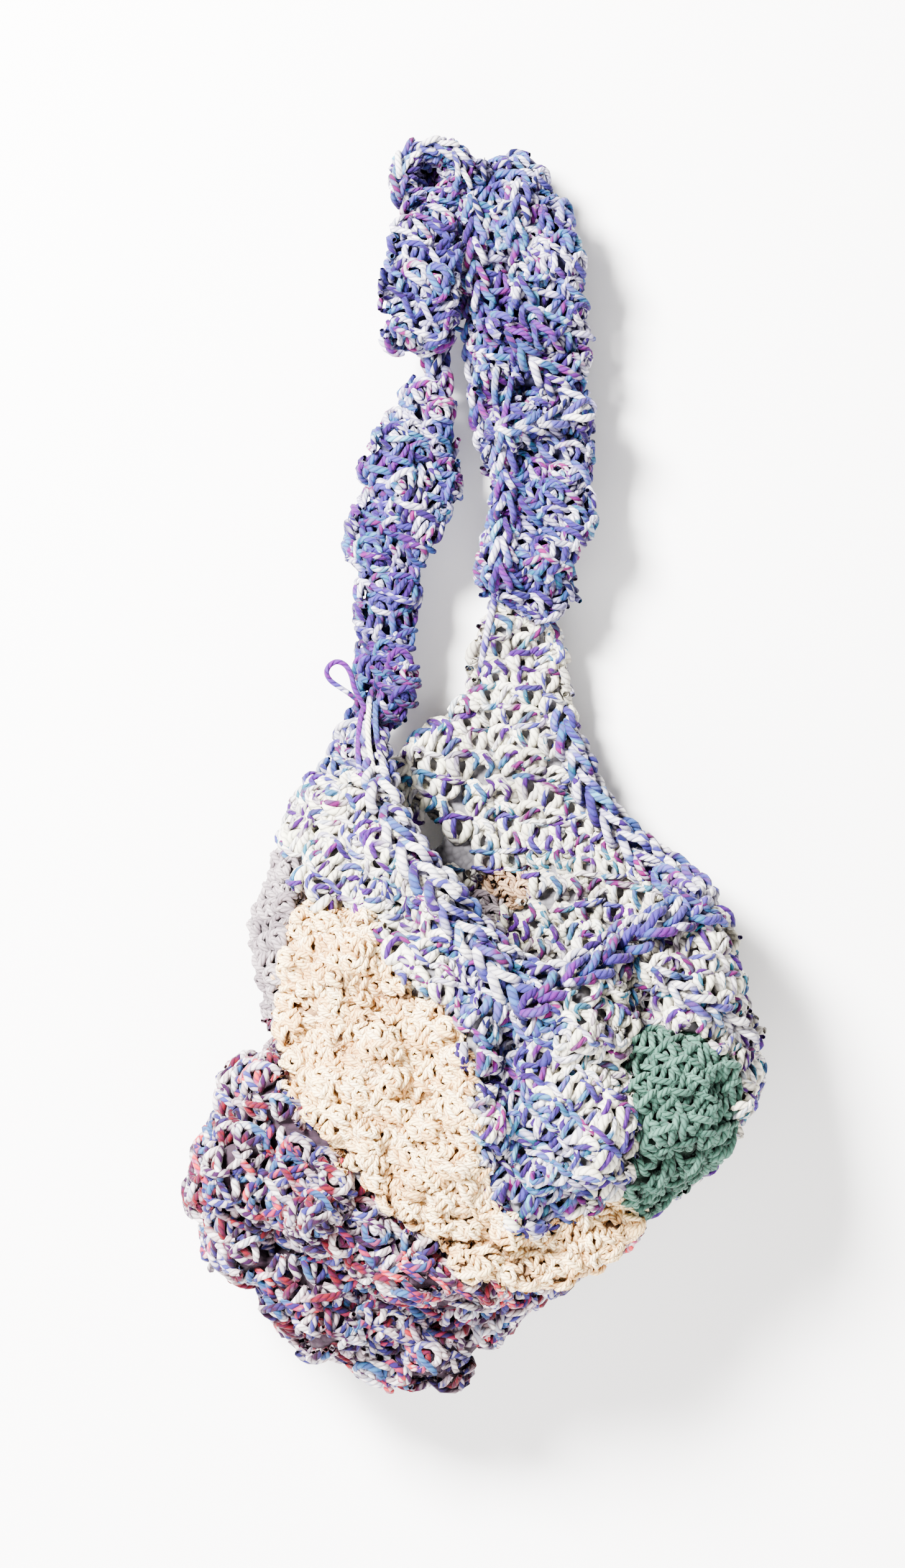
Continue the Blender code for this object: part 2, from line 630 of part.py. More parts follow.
def tube(name, centres, radius, grow=0.0):
    """A round tube through points, its sections carried along the route without twist."""
    rings = []
    side = None
    for i, centre in enumerate(centres):
        before, after = centres[max(i - 1, 0)], centres[min(i + 1, len(centres) - 1)]
        along = (after - before).normalized()
        if side is None:
            side = along.orthogonal()
        side = (side - along * side.dot(along)).normalized()
        square = along.cross(side)
        past_end = {0: -grow, len(centres) - 1: grow}.get(i, 0.0)
        rings.append(
            [
                centre
                + along * past_end
                + side * (math.cos(a) * (radius + grow))
                + square * (math.sin(a) * (radius + grow))
                for a in (2 * math.pi * k / ROUND_SIDES for k in range(ROUND_SIDES))
            ]
        )
    return loft(name, rings)


def on_wall(across, down, side, depth):
    """The point of the wall at a place seen from the front, depth inside its outer face."""
    centre_x, centre_y, half_wide, half_deep = (float(v) for v in section(down))
    share = min(0.999, abs(body_x(across) - centre_x) / half_wide)
    deep = half_deep * (1.0 - share**SECTION_POWER) ** (1.0 / SECTION_POWER)
    facing = -1.0 if side == "front" else 1.0
    x, z = body_x(across), body_z(down)
    moved = float(relief_at(np.array([x]), np.array([z]), np.array([-facing]))[0])
    return Vector((x, centre_y + facing * (deep + moved - depth), z))


def smooth_route(points, per_row):
    known = list(range(len(points)))
    where = np.linspace(0, known[-1], known[-1] * per_row + 1)
    return [Vector(p) for p in zip(*(smooth_read(where, known, [p[k] for p in points]) for k in range(3)))]


def rim_route():
    """The mouth's edge: down the front, round the right corner and up the back panel."""
    front = [on_wall(a, d, "front", WALL / 2 - BAND_LIFT / 2) for a, d in FRONT_RIM]
    back = [on_wall(a, d, "back", WALL / 2) for a, d in BACK_RIM]
    corner_down = (FRONT_RIM[-1][1] + BACK_RIM[0][1]) / 2
    centre_x, centre_y, half_wide, _ = (float(v) for v in section(corner_down))
    corner = Vector((centre_x + half_wide - WALL / 2, centre_y, body_z(corner_down)))
    return smooth_route(front + [corner] + back, 2)


def cuff_route():
    points = [on_wall(a, d, "front", -NATURAL_LIFT) for a, d in CUFF_ROUTE]
    return smooth_route(points, 3)


def cup(name, grow=0.0, hollow=True):
    """A bowl curled from the band, open to the front."""
    bowl = ellipsoid(name, cup_place(CUP_CENTRE), [r + grow for r in CUP_RADII])
    if hollow:
        body.objects.link(bowl)
        inner = [r - CUP_SHELL for r in CUP_RADII]
        shift = [a + b for a, b in zip(CUP_CENTRE, CUP_HOLLOW_SHIFT)]
        inner[1] += CUP_HOLLOW_REACH * BAND_WIDTH
        cut(bowl, ellipsoid(name + "_hollow", cup_place(shift), inner))
        body.objects.unlink(bowl)
    return bowl


def cup_place(shares):
    across, up, forward = shares
    return Vector((across * BAND_WIDTH, -forward * BAND_WIDTH, up * BAND_WIDTH))


def ellipsoid(name, centre, radii):
    work = bmesh.new()
    bmesh.ops.create_uvsphere(work, u_segments=18, v_segments=11, radius=1.0)
    bmesh.ops.scale(work, vec=radii, verts=work.verts)
    bmesh.ops.translate(work, vec=centre, verts=work.verts)
    mesh = bpy.data.meshes.new(name)
    work.to_mesh(mesh)
    work.free()
    return bpy.data.objects.new(name, mesh)


def dress(piece, finish):
    """Gives a piece its material and smooth shading."""
    colour, roughness = FINISHES[finish]
    material = bpy.data.materials.get(finish) or bpy.data.materials.new(finish)
    material.use_nodes = True
    shader = material.node_tree.nodes["Principled BSDF"]
    shader.inputs["Base Color"].default_value = (*colour, 1.0)
    shader.inputs["Roughness"].default_value = roughness
    shader.inputs["Metallic"].default_value = 0.0
    piece.data.materials.clear()
    piece.data.materials.append(material)
    piece.data.shade_smooth()
    piece.data.set_sharp_from_angle(angle=math.radians(50))


def add(piece, finish, *cutters):
    """Links a finished piece after cutting its neighbours' seats from it."""
    body.objects.link(piece)
    for cutter in cutters:
        cut(piece, cutter)
    drop_scraps(piece)
    dress(piece, finish)
    return piece


def build_pouch():
    patches = {
        "base_pouch": piece_from_wall(
            "base_pouch", "full", BASE_LIFT, BASE_POUCH, (), "plum_coral_yarn"
        ),
        "grey_patch": piece_from_wall(
            "grey_patch", "full", 0.0, GREY_PATCH, (BASE_POUCH,), "lavender_grey_yarn"
        ),
        "neck_gather": piece_from_wall(
            "neck_gather", "full", 0.0, NECK_GATHER, (), "edging_yarn"
        ),
        "front_band": piece_from_wall(
            "front_band", "front", BAND_LIFT, FRONT_BAND, (GREY_PATCH, NECK_GATHER), "ivory_yarn"
        ),
        "sage_patch": piece_from_wall(
            "sage_patch", "front", SAGE_LIFT, SAGE_PATCH, (FRONT_BAND, BASE_POUCH), "sage_yarn"
        ),
        "natural_patch": piece_from_wall(
            "natural_patch", "front", NATURAL_LIFT, NATURAL_PATCH,
            (FRONT_BAND, GREY_PATCH, BASE_POUCH, SAGE_PATCH), "cream_cotton",
        ),
        "side_panel": piece_from_wall(
            "side_panel", "front", 0.0, SIDE_PANEL,
            (FRONT_BAND, SAGE_PATCH, NATURAL_PATCH, BASE_POUCH), "ivory_yarn",
        ),
        "tan_inset": piece_from_wall(
            "tan_inset", "back", 0.0, TAN_INSET, (), "tan_yarn"
        ),
        "grey_inset": piece_from_wall(
            "grey_inset", "back", 0.0, GREY_INSET, (TAN_INSET,), "lavender_grey_yarn"
        ),
        "back_panel": piece_from_wall(
            "back_panel", "back", 0.0, BACK_PANEL,
            (BASE_POUCH, GREY_PATCH, NECK_GATHER, TAN_INSET, GREY_INSET), "ivory_yarn",
        ),
    }
    for hole in rows(BACK_HOLES):
        middle = Vector((body_x(hole["across"]), BACK_PLANE, body_z(hole["down"])))
        size = (hole["half_wide"] * BODY_WIDTH, BODY_DEPTH / 2, hole["half_tall"] * BODY_WIDTH)
        cut(patches["back_panel"], ellipsoid("hole", middle, size))
    return patches


def build():
    patches = build_pouch()
    rim, hem = rim_route(), cuff_route()
    neck_x, neck_z = body_x(NECK_END[0]), body_z(NECK_END[1])
    apex_x, apex_z = body_x(APEX_END[0]), body_z(APEX_END[1])
    down, sway, forward = LEFT_BAND[1][:3]
    rope_end = Vector((neck_x * down + sway * BAND_WIDTH, -forward * BAND_WIDTH, neck_z * down))

    def left_seat():
        return hanging_band("left_seat", LEFT_BAND, neck_x, neck_z, GAP)

    def lower_seat():
        return hanging_band("lower_seat", RIGHT_LOWER_BAND, apex_x, apex_z, GAP)

    def upper_seat():
        return hanging_band("upper_seat", RIGHT_UPPER_BAND, apex_x, apex_z, GAP)

    for name in ("front_band", "side_panel", "back_panel", "neck_gather"):
        cut(patches[name], tube("rim_seat", rim, EDGING_RADIUS, GAP))
    for name in ("natural_patch", "base_pouch", "side_panel", "sage_patch", "front_band"):
        cut(patches[name], tube("cuff_seat", hem, CUFF_RADIUS, GAP))
    cut(patches["neck_gather"], left_seat())
    cut(patches["back_panel"], lower_seat())
    for patch in patches.values():
        drop_scraps(patch)

    add(tube("natural_cuff", hem, CUFF_RADIUS), "cream_cotton")
    add(tube("rim_edging", rim, EDGING_RADIUS), "edging_yarn", left_seat(), lower_seat())
    add(cup("strap_cup"), "violet_yarn")
    add(hanging_band("right_strap_upper", RIGHT_UPPER_BAND, apex_x, apex_z), "violet_yarn",
        cup("cup_seat", GAP, False))
    add(hanging_band("right_strap_lower", RIGHT_LOWER_BAND, apex_x, apex_z), "violet_yarn", upper_seat())
    add(fold_band("strap_fold"), "violet_yarn", cup("cup_seat", GAP, False), upper_seat())
    add(saddle_band("strap_saddle"), "violet_yarn", cup("cup_seat", GAP, False), upper_seat(),
        fold_band("fold_seat", GAP))
    add(hanging_band("left_strap", LEFT_BAND, neck_x, neck_z), "violet_yarn")
    add(rope("twisted_stretch", rope_end), "violet_yarn", left_seat(), fold_band("fold_seat", GAP))
    add(tube("strap_edge_roll", route_centres(EDGE_ROLL_ROUTE), EDGE_ROLL_RADIUS), "violet_yarn",
        upper_seat(), lower_seat())


for old in list(bpy.data.objects):
    bpy.data.objects.remove(old)
body = bpy.data.collections.new("crochet_bag")
helpers = bpy.data.collections.new("cutters")
bpy.context.scene.collection.children.link(body)
bpy.context.scene.collection.children.link(helpers)
helpers.hide_render = True
build()
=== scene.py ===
"""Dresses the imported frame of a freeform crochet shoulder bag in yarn.

Every patch is worked the way it is crocheted: rows are laid over the solid, a stitch made of a few
strands is set at each step of a row, and the yarn takes its colours from how far it has run.
"""

import json
import math
import random

import bmesh
import bpy
import numpy as np
from mathutils import Matrix, Vector, noise
from mathutils.bvhtree import BVHTree

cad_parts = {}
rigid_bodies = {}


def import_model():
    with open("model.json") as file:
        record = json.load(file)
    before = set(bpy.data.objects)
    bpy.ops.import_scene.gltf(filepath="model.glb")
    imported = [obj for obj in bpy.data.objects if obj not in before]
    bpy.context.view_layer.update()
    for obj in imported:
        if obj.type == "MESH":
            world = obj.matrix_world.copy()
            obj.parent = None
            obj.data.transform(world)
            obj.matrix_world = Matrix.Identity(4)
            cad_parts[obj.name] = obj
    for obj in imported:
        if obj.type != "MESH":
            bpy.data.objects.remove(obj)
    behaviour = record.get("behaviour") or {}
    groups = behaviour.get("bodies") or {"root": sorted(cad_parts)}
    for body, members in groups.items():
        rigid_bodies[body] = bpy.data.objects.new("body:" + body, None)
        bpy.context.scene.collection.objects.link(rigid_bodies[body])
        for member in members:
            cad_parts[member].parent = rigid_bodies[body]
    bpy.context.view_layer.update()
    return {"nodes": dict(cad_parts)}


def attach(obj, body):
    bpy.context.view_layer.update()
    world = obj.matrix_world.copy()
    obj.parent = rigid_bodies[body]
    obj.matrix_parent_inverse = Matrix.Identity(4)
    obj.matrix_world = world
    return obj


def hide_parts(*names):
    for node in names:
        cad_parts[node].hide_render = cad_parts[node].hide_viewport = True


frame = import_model()

bl_info = {
    "name": "Crochet Bag",
    "version": (1, 0, 0),
    "blender": (4, 5, 0),
    "location": "3D Viewport > Sidebar > Crochet Bag",
    "description": "Works a freeform crochet shoulder bag over its packed frame",
    "category": "Object",
}

# The photographed view: its scale at the bag, its middle, and how far off the camera stands
METRES_PER_PIXEL = 0.00036
PICTURE_TALL = 2522
PICTURE_CENTRE = (-0.0187, -0.351)
CAMERA_AWAY = 2.43
OBJECT_PLANE = -0.030

# A fabric: which solid it covers, its yarn, and its stitch. length is along the row, tall across
# rows, radius is the strand's, tilt turns the rows in degrees, sway is how far the rows wander,
# lumps is how high its bobbles stand and lump how wide they are, under is how far its rows lie
# inside the solid's face. split makes its front and rear two pieces. Lengths are metres.
FABRICS = (
    ("piece", "yarn", "slot", "style", "length", "tall", "radius", "tilt", "sway", "lumps", "lump", "under", "split"),
    ("base_pouch", "plum_coral", "plum_coral_yarn", "loose", 0.0152, 0.0126, 0.0021, -14.0, 0.016, 0.0110, 0.021, 0.0006, True),
    ("natural_patch", "cotton", "cream_cotton", "knobbly", 0.0090, 0.0078, 0.0016, -12.0, 0.008, 0.0120, 0.0095, 0.0004, False),
    ("natural_cuff", "cotton", "cream_cotton", "knobbly", 0.0090, 0.0078, 0.0016, 20.0, 0.003, 0.0090, 0.0100, 0.0004, False),
    ("grey_patch", "lavender_grey", "lavender_grey_yarn", "loose", 0.0106, 0.0090, 0.0017, 8.0, 0.006, 0.0070, 0.014, 0.0005, False),
    ("grey_inset", "lavender_grey", "lavender_grey_yarn", "loose", 0.0096, 0.0084, 0.0016, 8.0, 0.001, 0.0010, 0.012, 0.0005, False),
    ("tan_inset", "tan", "tan_yarn", "loose", 0.0096, 0.0084, 0.0016, -8.0, 0.001, 0.0010, 0.012, 0.0005, False),
    ("sage_patch", "sage", "sage_yarn", "even", 0.0120, 0.0102, 0.0020, 24.0, 0.005, 0.0070, 0.018, 0.0006, False),
    ("front_band", "ivory", "ivory_yarn", "thick", 0.0128, 0.0108, 0.0027, -38.0, 0.012, 0.0100, 0.022, 0.0008, False),
    ("side_panel", "ivory", "ivory_yarn", "thick", 0.0128, 0.0108, 0.0027, 14.0, 0.008, 0.0090, 0.022, 0.0008, False),
    ("back_panel", "ivory", "ivory_yarn", "thick", 0.0132, 0.0110, 0.0028, -10.0, 0.018, 0.0060, 0.026, 0.0008, True),
    ("neck_gather", "edging", "edging_yarn", "loose", 0.0116, 0.0100, 0.0019, 60.0, 0.003, 0.0020, 0.016, 0.0006, False),
    ("right_strap_upper", "violet", "violet_yarn", "loose", 0.0136, 0.0112, 0.0019, 16.0, 0.010, 0.0090, 0.020, 0.0007, False),
    ("right_strap_lower", "violet", "violet_yarn", "loose", 0.0136, 0.0112, 0.0019, -12.0, 0.010, 0.0090, 0.020, 0.0007, False),
    ("left_strap", "violet", "violet_yarn", "loose", 0.0136, 0.0112, 0.0019, 14.0, 0.010, 0.0070, 0.018, 0.0007, False),
    ("strap_fold", "violet", "violet_yarn", "loose", 0.0132, 0.0108, 0.0019, -16.0, 0.006, 0.0050, 0.016, 0.0010, False),
    ("strap_cup", "violet", "violet_yarn", "loose", 0.0112, 0.0092, 0.0016, 30.0, 0.004, 0.0016, 0.016, 0.0020, False),
    ("strap_saddle", "violet", "violet_yarn", "loose", 0.0116, 0.0098, 0.0018, 70.0, 0.002, 0.0010, 0.016, 0.0008, False),
)
SINK = 0.0026

# Folds of the cloth: from and to in picture pixels, how wide in pixels, and how far the cloth is
# pushed towards the wall (in metres, less than zero for a ridge)
FOLDS = (
    ("from_x", "from_z", "to_x", "to_z", "wide", "push"),
    (835, 628, 905, 634, 15, 0.0110),
    (812, 540, 905, 625, 18, -0.0050),
    (830, 672, 915, 662, 14, -0.0045),
    (690, 272, 694, 284, 32, 0.0125),
    (835, 420, 800, 510, 16, 0.0050),
    (640, 720, 690, 870, 16, -0.0040),
    (430, 1790, 452, 1985, 22, 0.0090),
    (452, 1990, 600, 2056, 20, 0.0120),
    (600, 2056, 690, 2110, 20, 0.0090),
    (560, 1850, 640, 1960, 20, 0.0100),
    (515, 1925, 520, 1930, 42, -0.0080),
    (390, 1850, 395, 1870, 40, -0.0070),
    (640, 2030, 760, 2040, 26, -0.0070),
    (540, 2120, 560, 2130, 34, -0.0060),
    (866, 1915, 1010, 1945, 18, 0.0110),
    (700, 1650, 640, 1860, 26, 0.0060),
    (560, 1560, 600, 1700, 30, -0.0060),
    (770, 1700, 740, 1900, 34, -0.0050),
    (845, 1510, 800, 1660, 22, 0.0110),
    (800, 1660, 830, 1860, 20, 0.0090),
    (900, 1700, 1010, 1695, 18, 0.0100),
    (1000, 1520, 1040, 1640, 22, 0.0130),
    (925, 1590, 935, 1620, 46, -0.0090),
    (935, 1790, 950, 1830, 46, -0.0080),
    (1010, 1530, 1120, 1480, 20, 0.0080),
    (1060, 1450, 1160, 1500, 24, -0.0050),
    (1150, 1560, 1190, 1640, 20, 0.0060),
    (560, 1320, 640, 1480, 24, 0.0060),
    (700, 1450, 800, 1560, 24, -0.0060),
    (1080, 1700, 1090, 1800, 40, -0.0060),
)

# Cords of chained stitches that follow a solid's own line: how many lines lie round it, how many
# times they wind about it, how far out of the middle they run, and how wide a chain is
CHAINS = (
    ("piece", "yarn", "slot", "length", "radius", "lines", "winds", "out", "wide"),
    ("rim_edging", "edging", "edging_yarn", 0.0122, 0.0024, 3, 0.0, 0.0036, 0.0112),
    ("strap_edge_roll", "violet", "violet_yarn", 0.0124, 0.0020, 3, 0.5, 0.0024, 0.0090),
    ("twisted_stretch", "violet", "violet_yarn", 0.0130, 0.0021, 3, 1.0, 0.0026, 0.0090),
)

# Chained edges that lie on the fabric without a solid of their own: points are across and down in
# picture pixels, and depth
EDGES = (
    ("piece", "yarn", "slot", "length", "radius", "wide", "points"),
    ("ridge", "violet", "violet_yarn", 0.0125, 0.0022, 0.0110, (
        (788, 508, 0), (815, 530, 0), (845, 560, 0), (870, 590, 0), (893, 615, 0), (915, 640, 0),
    )),
    ("fold_lip", "edging", "violet_yarn", 0.0124, 0.0021, 0.0100, (
        (815, 682, 0), (845, 684, 0), (885, 676, 0), (925, 662, 0),
    )),
    ("strap_edge", "violet", "violet_yarn", 0.0125, 0.0021, 0.0104, (
        (762, 330, 0), (762, 400, 0), (772, 460, 0), (784, 520, 0),
    )),
    ("strap_seam", "violet", "violet_yarn", 0.0125, 0.0021, 0.0104, (
        (838, 300, 0), (832, 360, 0), (836, 420, 0), (846, 480, 0), (870, 530, 0),
    )),
    ("lower_edge", "violet", "violet_yarn", 0.0125, 0.0021, 0.0104, (
        (812, 705, 0), (814, 760, 0), (812, 820, 0), (808, 870, 0), (808, 925, 0),
    )),
    ("cup_rim", "edging", "violet_yarn", 0.0110, 0.0019, 0.0086, (
        (646, 314, 0), (643, 274, 0), (656, 243, 0), (684, 228, 0), (716, 229, 0), (738, 249, 0), (743, 282, 0),
    )),
    ("front_chain", "edging", "edging_yarn", 0.0146, 0.0028, 0.0136, (
        (604, 1250, 0), (632, 1320, 0), (680, 1400, 0), (735, 1475, 0), (785, 1540, 0), (835, 1592, 0),
    )),
    ("valley_chain", "deep", "edging_yarn", 0.0142, 0.0026, 0.0128, (
        (848, 1606, 0), (885, 1578, 0), (940, 1549, 0), (1000, 1513, 0), (1060, 1482, 0), (1120, 1464, 0),
    )),
    ("back_chain", "violet", "edging_yarn", 0.0138, 0.0025, 0.0122, (
        (905, 1150, 0), (925, 1220, 0), (965, 1295, 0), (1022, 1370, 0), (1085, 1425, 0), (1135, 1480, 0),
    )),
    ("side_chain", "edging", "edging_yarn", 0.0128, 0.0023, 0.0110, (
        (1060, 1560, 0), (1100, 1600, 0), (1150, 1620, 0), (1185, 1660, 0),
    )),
)

# Bare strands of yarn, with points as above. Where lies is true the strand follows the cloth and
# the last value is how far it stands off.
STRAND_RUNS = (
    ("piece", "yarn", "slot", "radius", "lies", "points"),
    ("tail_loop", "deep", "violet_yarn", 0.0016, False, (
        (588, 1142, -0.012), (578, 1122, -0.013), (569, 1105, -0.014), (564, 1084, -0.014), (555, 1068, -0.014), (542, 1062, -0.014),
        (530, 1067, -0.014), (524, 1079, -0.014), (530, 1092, -0.013), (545, 1103, -0.012), (560, 1113, -0.012), (576, 1126, -0.012),
    )),
    ("bridging_strand", "deep", "violet_yarn", 0.0015, False, (
        (722, 505, 0.000), (738, 520, -0.002), (762, 526, -0.003), (780, 535, -0.004), (796, 548, -0.004),
    )),
    ("pale_loop", "edging", "edging_yarn", 0.0017, True, (
        (920, 676, 0.001), (930, 658, 0.003), (945, 651, 0.004), (953, 662, 0.004), (951, 677, 0.003), (941, 687, 0.003), (928, 684, 0.001),
    )),
    ("edge_strand_left", "edging", "edging_yarn", 0.0019, True, (
        (800, 588, 0.0), (796, 620, 0.002), (799, 655, 0.002), (806, 692, 0.0),
    )),
    ("edge_strand_right", "deep", "violet_yarn", 0.0019, True, (
        (824, 600, 0.0), (819, 635, 0.002), (812, 668, 0.002), (812, 696, 0.0),
    )),
    ("apex_strand", "deep", "violet_yarn", 0.0021, True, (
        (806, 870, 0.0), (800, 915, 0.001), (796, 960, 0.001), (785, 1010, 0.001), (778, 1050, 0.0), (772, 1085, -0.003),
    )),
    ("neck_strand_left", "ivory", "ivory_yarn", 0.0017, True, (
        (594, 1130, -0.001), (592, 1160, 0.001), (594, 1200, 0.001), (602, 1240, -0.001),
    )),
    ("neck_strand_middle", "edging", "edging_yarn", 0.0017, True, (
        (604, 1126, -0.001), (604, 1160, 0.001), (610, 1205, 0.001), (624, 1255, -0.001),
    )),
    ("neck_strand_right", "deep", "ivory_yarn", 0.0017, True, (
        (584, 1132, -0.001), (578, 1165, 0.001), (576, 1205, 0.001), (580, 1245, -0.001),
    )),
)
PIN_PIXEL = (780, 285)

# Inside the pouch below this height stitches are plain, because they can't be looked at closely
MOUTH_LOW = -0.475
POUCH = ("base_pouch", "natural_patch", "grey_patch", "sage_patch", "front_band", "side_panel", "back_panel")
POUCH_MIDDLE = -0.048

# The back panel's holes: place and radius
HOLES = (
    ("x", "z", "radius"),
    (-0.0322, -0.3800, 0.0160),
    (-0.0130, -0.3614, 0.0110),
    (-0.0072, -0.3935, 0.0110),
)

# Where the front band's yarn runs violet: place, radius and strength
VIOLET_SPOTS = (
    ("x", "z", "radius", "strength"),
    (-0.065, -0.330, 0.022, 0.9),
    (-0.050, -0.365, 0.016, 0.8),
    (-0.030, -0.400, 0.018, 0.7),
    (-0.012, -0.430, 0.022, 0.9),
    (0.005, -0.460, 0.024, 1.0),
    (0.000, -0.490, 0.026, 0.9),
    (0.026, -0.480, 0.022, 1.0),
    (0.010, -0.520, 0.024, 0.7),
    (0.030, -0.550, 0.026, 0.7),
    (0.045, -0.560, 0.022, 0.8),
    (0.020, -0.575, 0.024, 0.9),
    (0.032, -0.590, 0.020, 0.8),
    (0.060, -0.440, 0.018, 0.5),
    (0.100, -0.415, 0.020, 0.5),
    (-0.085, -0.385, 0.014, 0.5),
    (-0.060, -0.410, 0.014, 0.5),
    (0.130, -0.400, 0.018, 0.6),
    (0.085, -0.365, 0.016, 0.7),
    (-0.052, -0.235, 0.022, 1.0),
    (-0.055, -0.270, 0.022, 1.0),
    (-0.060, -0.305, 0.020, 0.9),
    (-0.062, -0.165, 0.014, 0.9),
    (-0.066, -0.195, 0.014, 0.9),
    (0.000, -0.070, 0.014, 0.9),
    (0.018, -0.095, 0.020, 0.8),
    (0.045, -0.030, 0.014, 0.6),
    (0.046, -0.060, 0.014, 0.6),
    (0.022, -0.185, 0.020, 0.8),
    (0.004, -0.235, 0.012, 0.8),
    (-0.034, 0.005, 0.012, 0.8),
)

# Yarn palettes: where each colour starts along the dyed length, and the colour
PALETTES = {
    "violet": (
        (0.00, (0.63, 0.60, 0.65)), (0.10, (0.027, 0.021, 0.150)), (0.20, (0.022, 0.003, 0.075)),
        (0.29, (0.004, 0.004, 0.040)), (0.34, (0.63, 0.60, 0.65)), (0.42, (0.072, 0.056, 0.250)),
        (0.50, (0.022, 0.110, 0.250)), (0.57, (0.068, 0.002, 0.118)), (0.65, (0.135, 0.002, 0.080)),
        (0.70, (0.63, 0.60, 0.65)), (0.77, (0.006, 0.075, 0.130)), (0.82, (0.030, 0.026, 0.170)),
        (0.90, (0.070, 0.260, 0.370)), (0.94, (0.026, 0.005, 0.085)),
    ),
    "deep": (
        (0.00, (0.036, 0.024, 0.170)), (0.16, (0.028, 0.003, 0.090)), (0.32, (0.022, 0.070, 0.220)),
        (0.42, (0.078, 0.002, 0.130)), (0.58, (0.044, 0.024, 0.190)), (0.70, (0.56, 0.53, 0.62)),
        (0.76, (0.006, 0.005, 0.050)), (0.86, (0.095, 0.004, 0.085)), (0.92, (0.018, 0.110, 0.200)),
    ),
    "edging": (
        (0.00, (0.68, 0.65, 0.62)), (0.16, (0.0248, 0.0205, 0.136)), (0.31, (0.68, 0.65, 0.62)),
        (0.42, (0.0298, 0.0752, 0.224)), (0.52, (0.0215, 0.0041, 0.0739)), (0.66, (0.68, 0.65, 0.62)),
        (0.76, (0.0431, 0.0376, 0.194)), (0.88, (0.0704, 0.00342, 0.0564)), (0.94, (0.058, 0.13, 0.272)),
    ),
    "thread": (
        (0.00, (0.66, 0.64, 0.60)), (0.12, (0.045, 0.004, 0.115)), (0.27, (0.034, 0.028, 0.175)),
        (0.38, (0.66, 0.64, 0.60)), (0.47, (0.025, 0.120, 0.235)), (0.58, (0.036, 0.002, 0.080)),
        (0.72, (0.66, 0.64, 0.60)), (0.78, (0.082, 0.002, 0.064)), (0.90, (0.014, 0.110, 0.175)),
    ),
    "ivory": (
        (0.00, (0.75, 0.71, 0.57)), (0.34, (0.71, 0.69, 0.53)), (0.66, (0.77, 0.74, 0.64)),
    ),
    "plum_coral": (
        (0.00, (0.62, 0.58, 0.58)), (0.09, (0.018, 0.002, 0.0161)), (0.20, (0.02, 0.016, 0.115)),
        (0.31, (0.62, 0.58, 0.58)), (0.38, (0.11, 0.002, 0.0092)), (0.48, (0.024, 0.003, 0.0299)),
        (0.58, (0.62, 0.58, 0.58)), (0.65, (0.02, 0.085, 0.207)), (0.73, (0.02, 0.006, 0.0759)),
        (0.81, (0.44, 0.02, 0.0322)), (0.88, (0.6, 0.54, 0.54)), (0.93, (0.028, 0.028, 0.161)),
    ),
    "cotton": (
        (0.00, (0.90, 0.70, 0.38)), (0.30, (0.97, 0.81, 0.52)), (0.62, (0.84, 0.60, 0.29)), (0.86, (0.66, 0.41, 0.17)),
    ),
    "lavender_grey": ((0.00, (0.26, 0.215, 0.23)), (0.5, (0.34, 0.29, 0.30)), (0.80, (0.17, 0.135, 0.15))),
    "tan": ((0.00, (0.46, 0.28, 0.16)), (0.5, (0.52, 0.34, 0.21))),
    "sage": ((0.00, (0.050, 0.122, 0.090)), (0.4, (0.064, 0.152, 0.113)), (0.75, (0.034, 0.090, 0.067))),
}

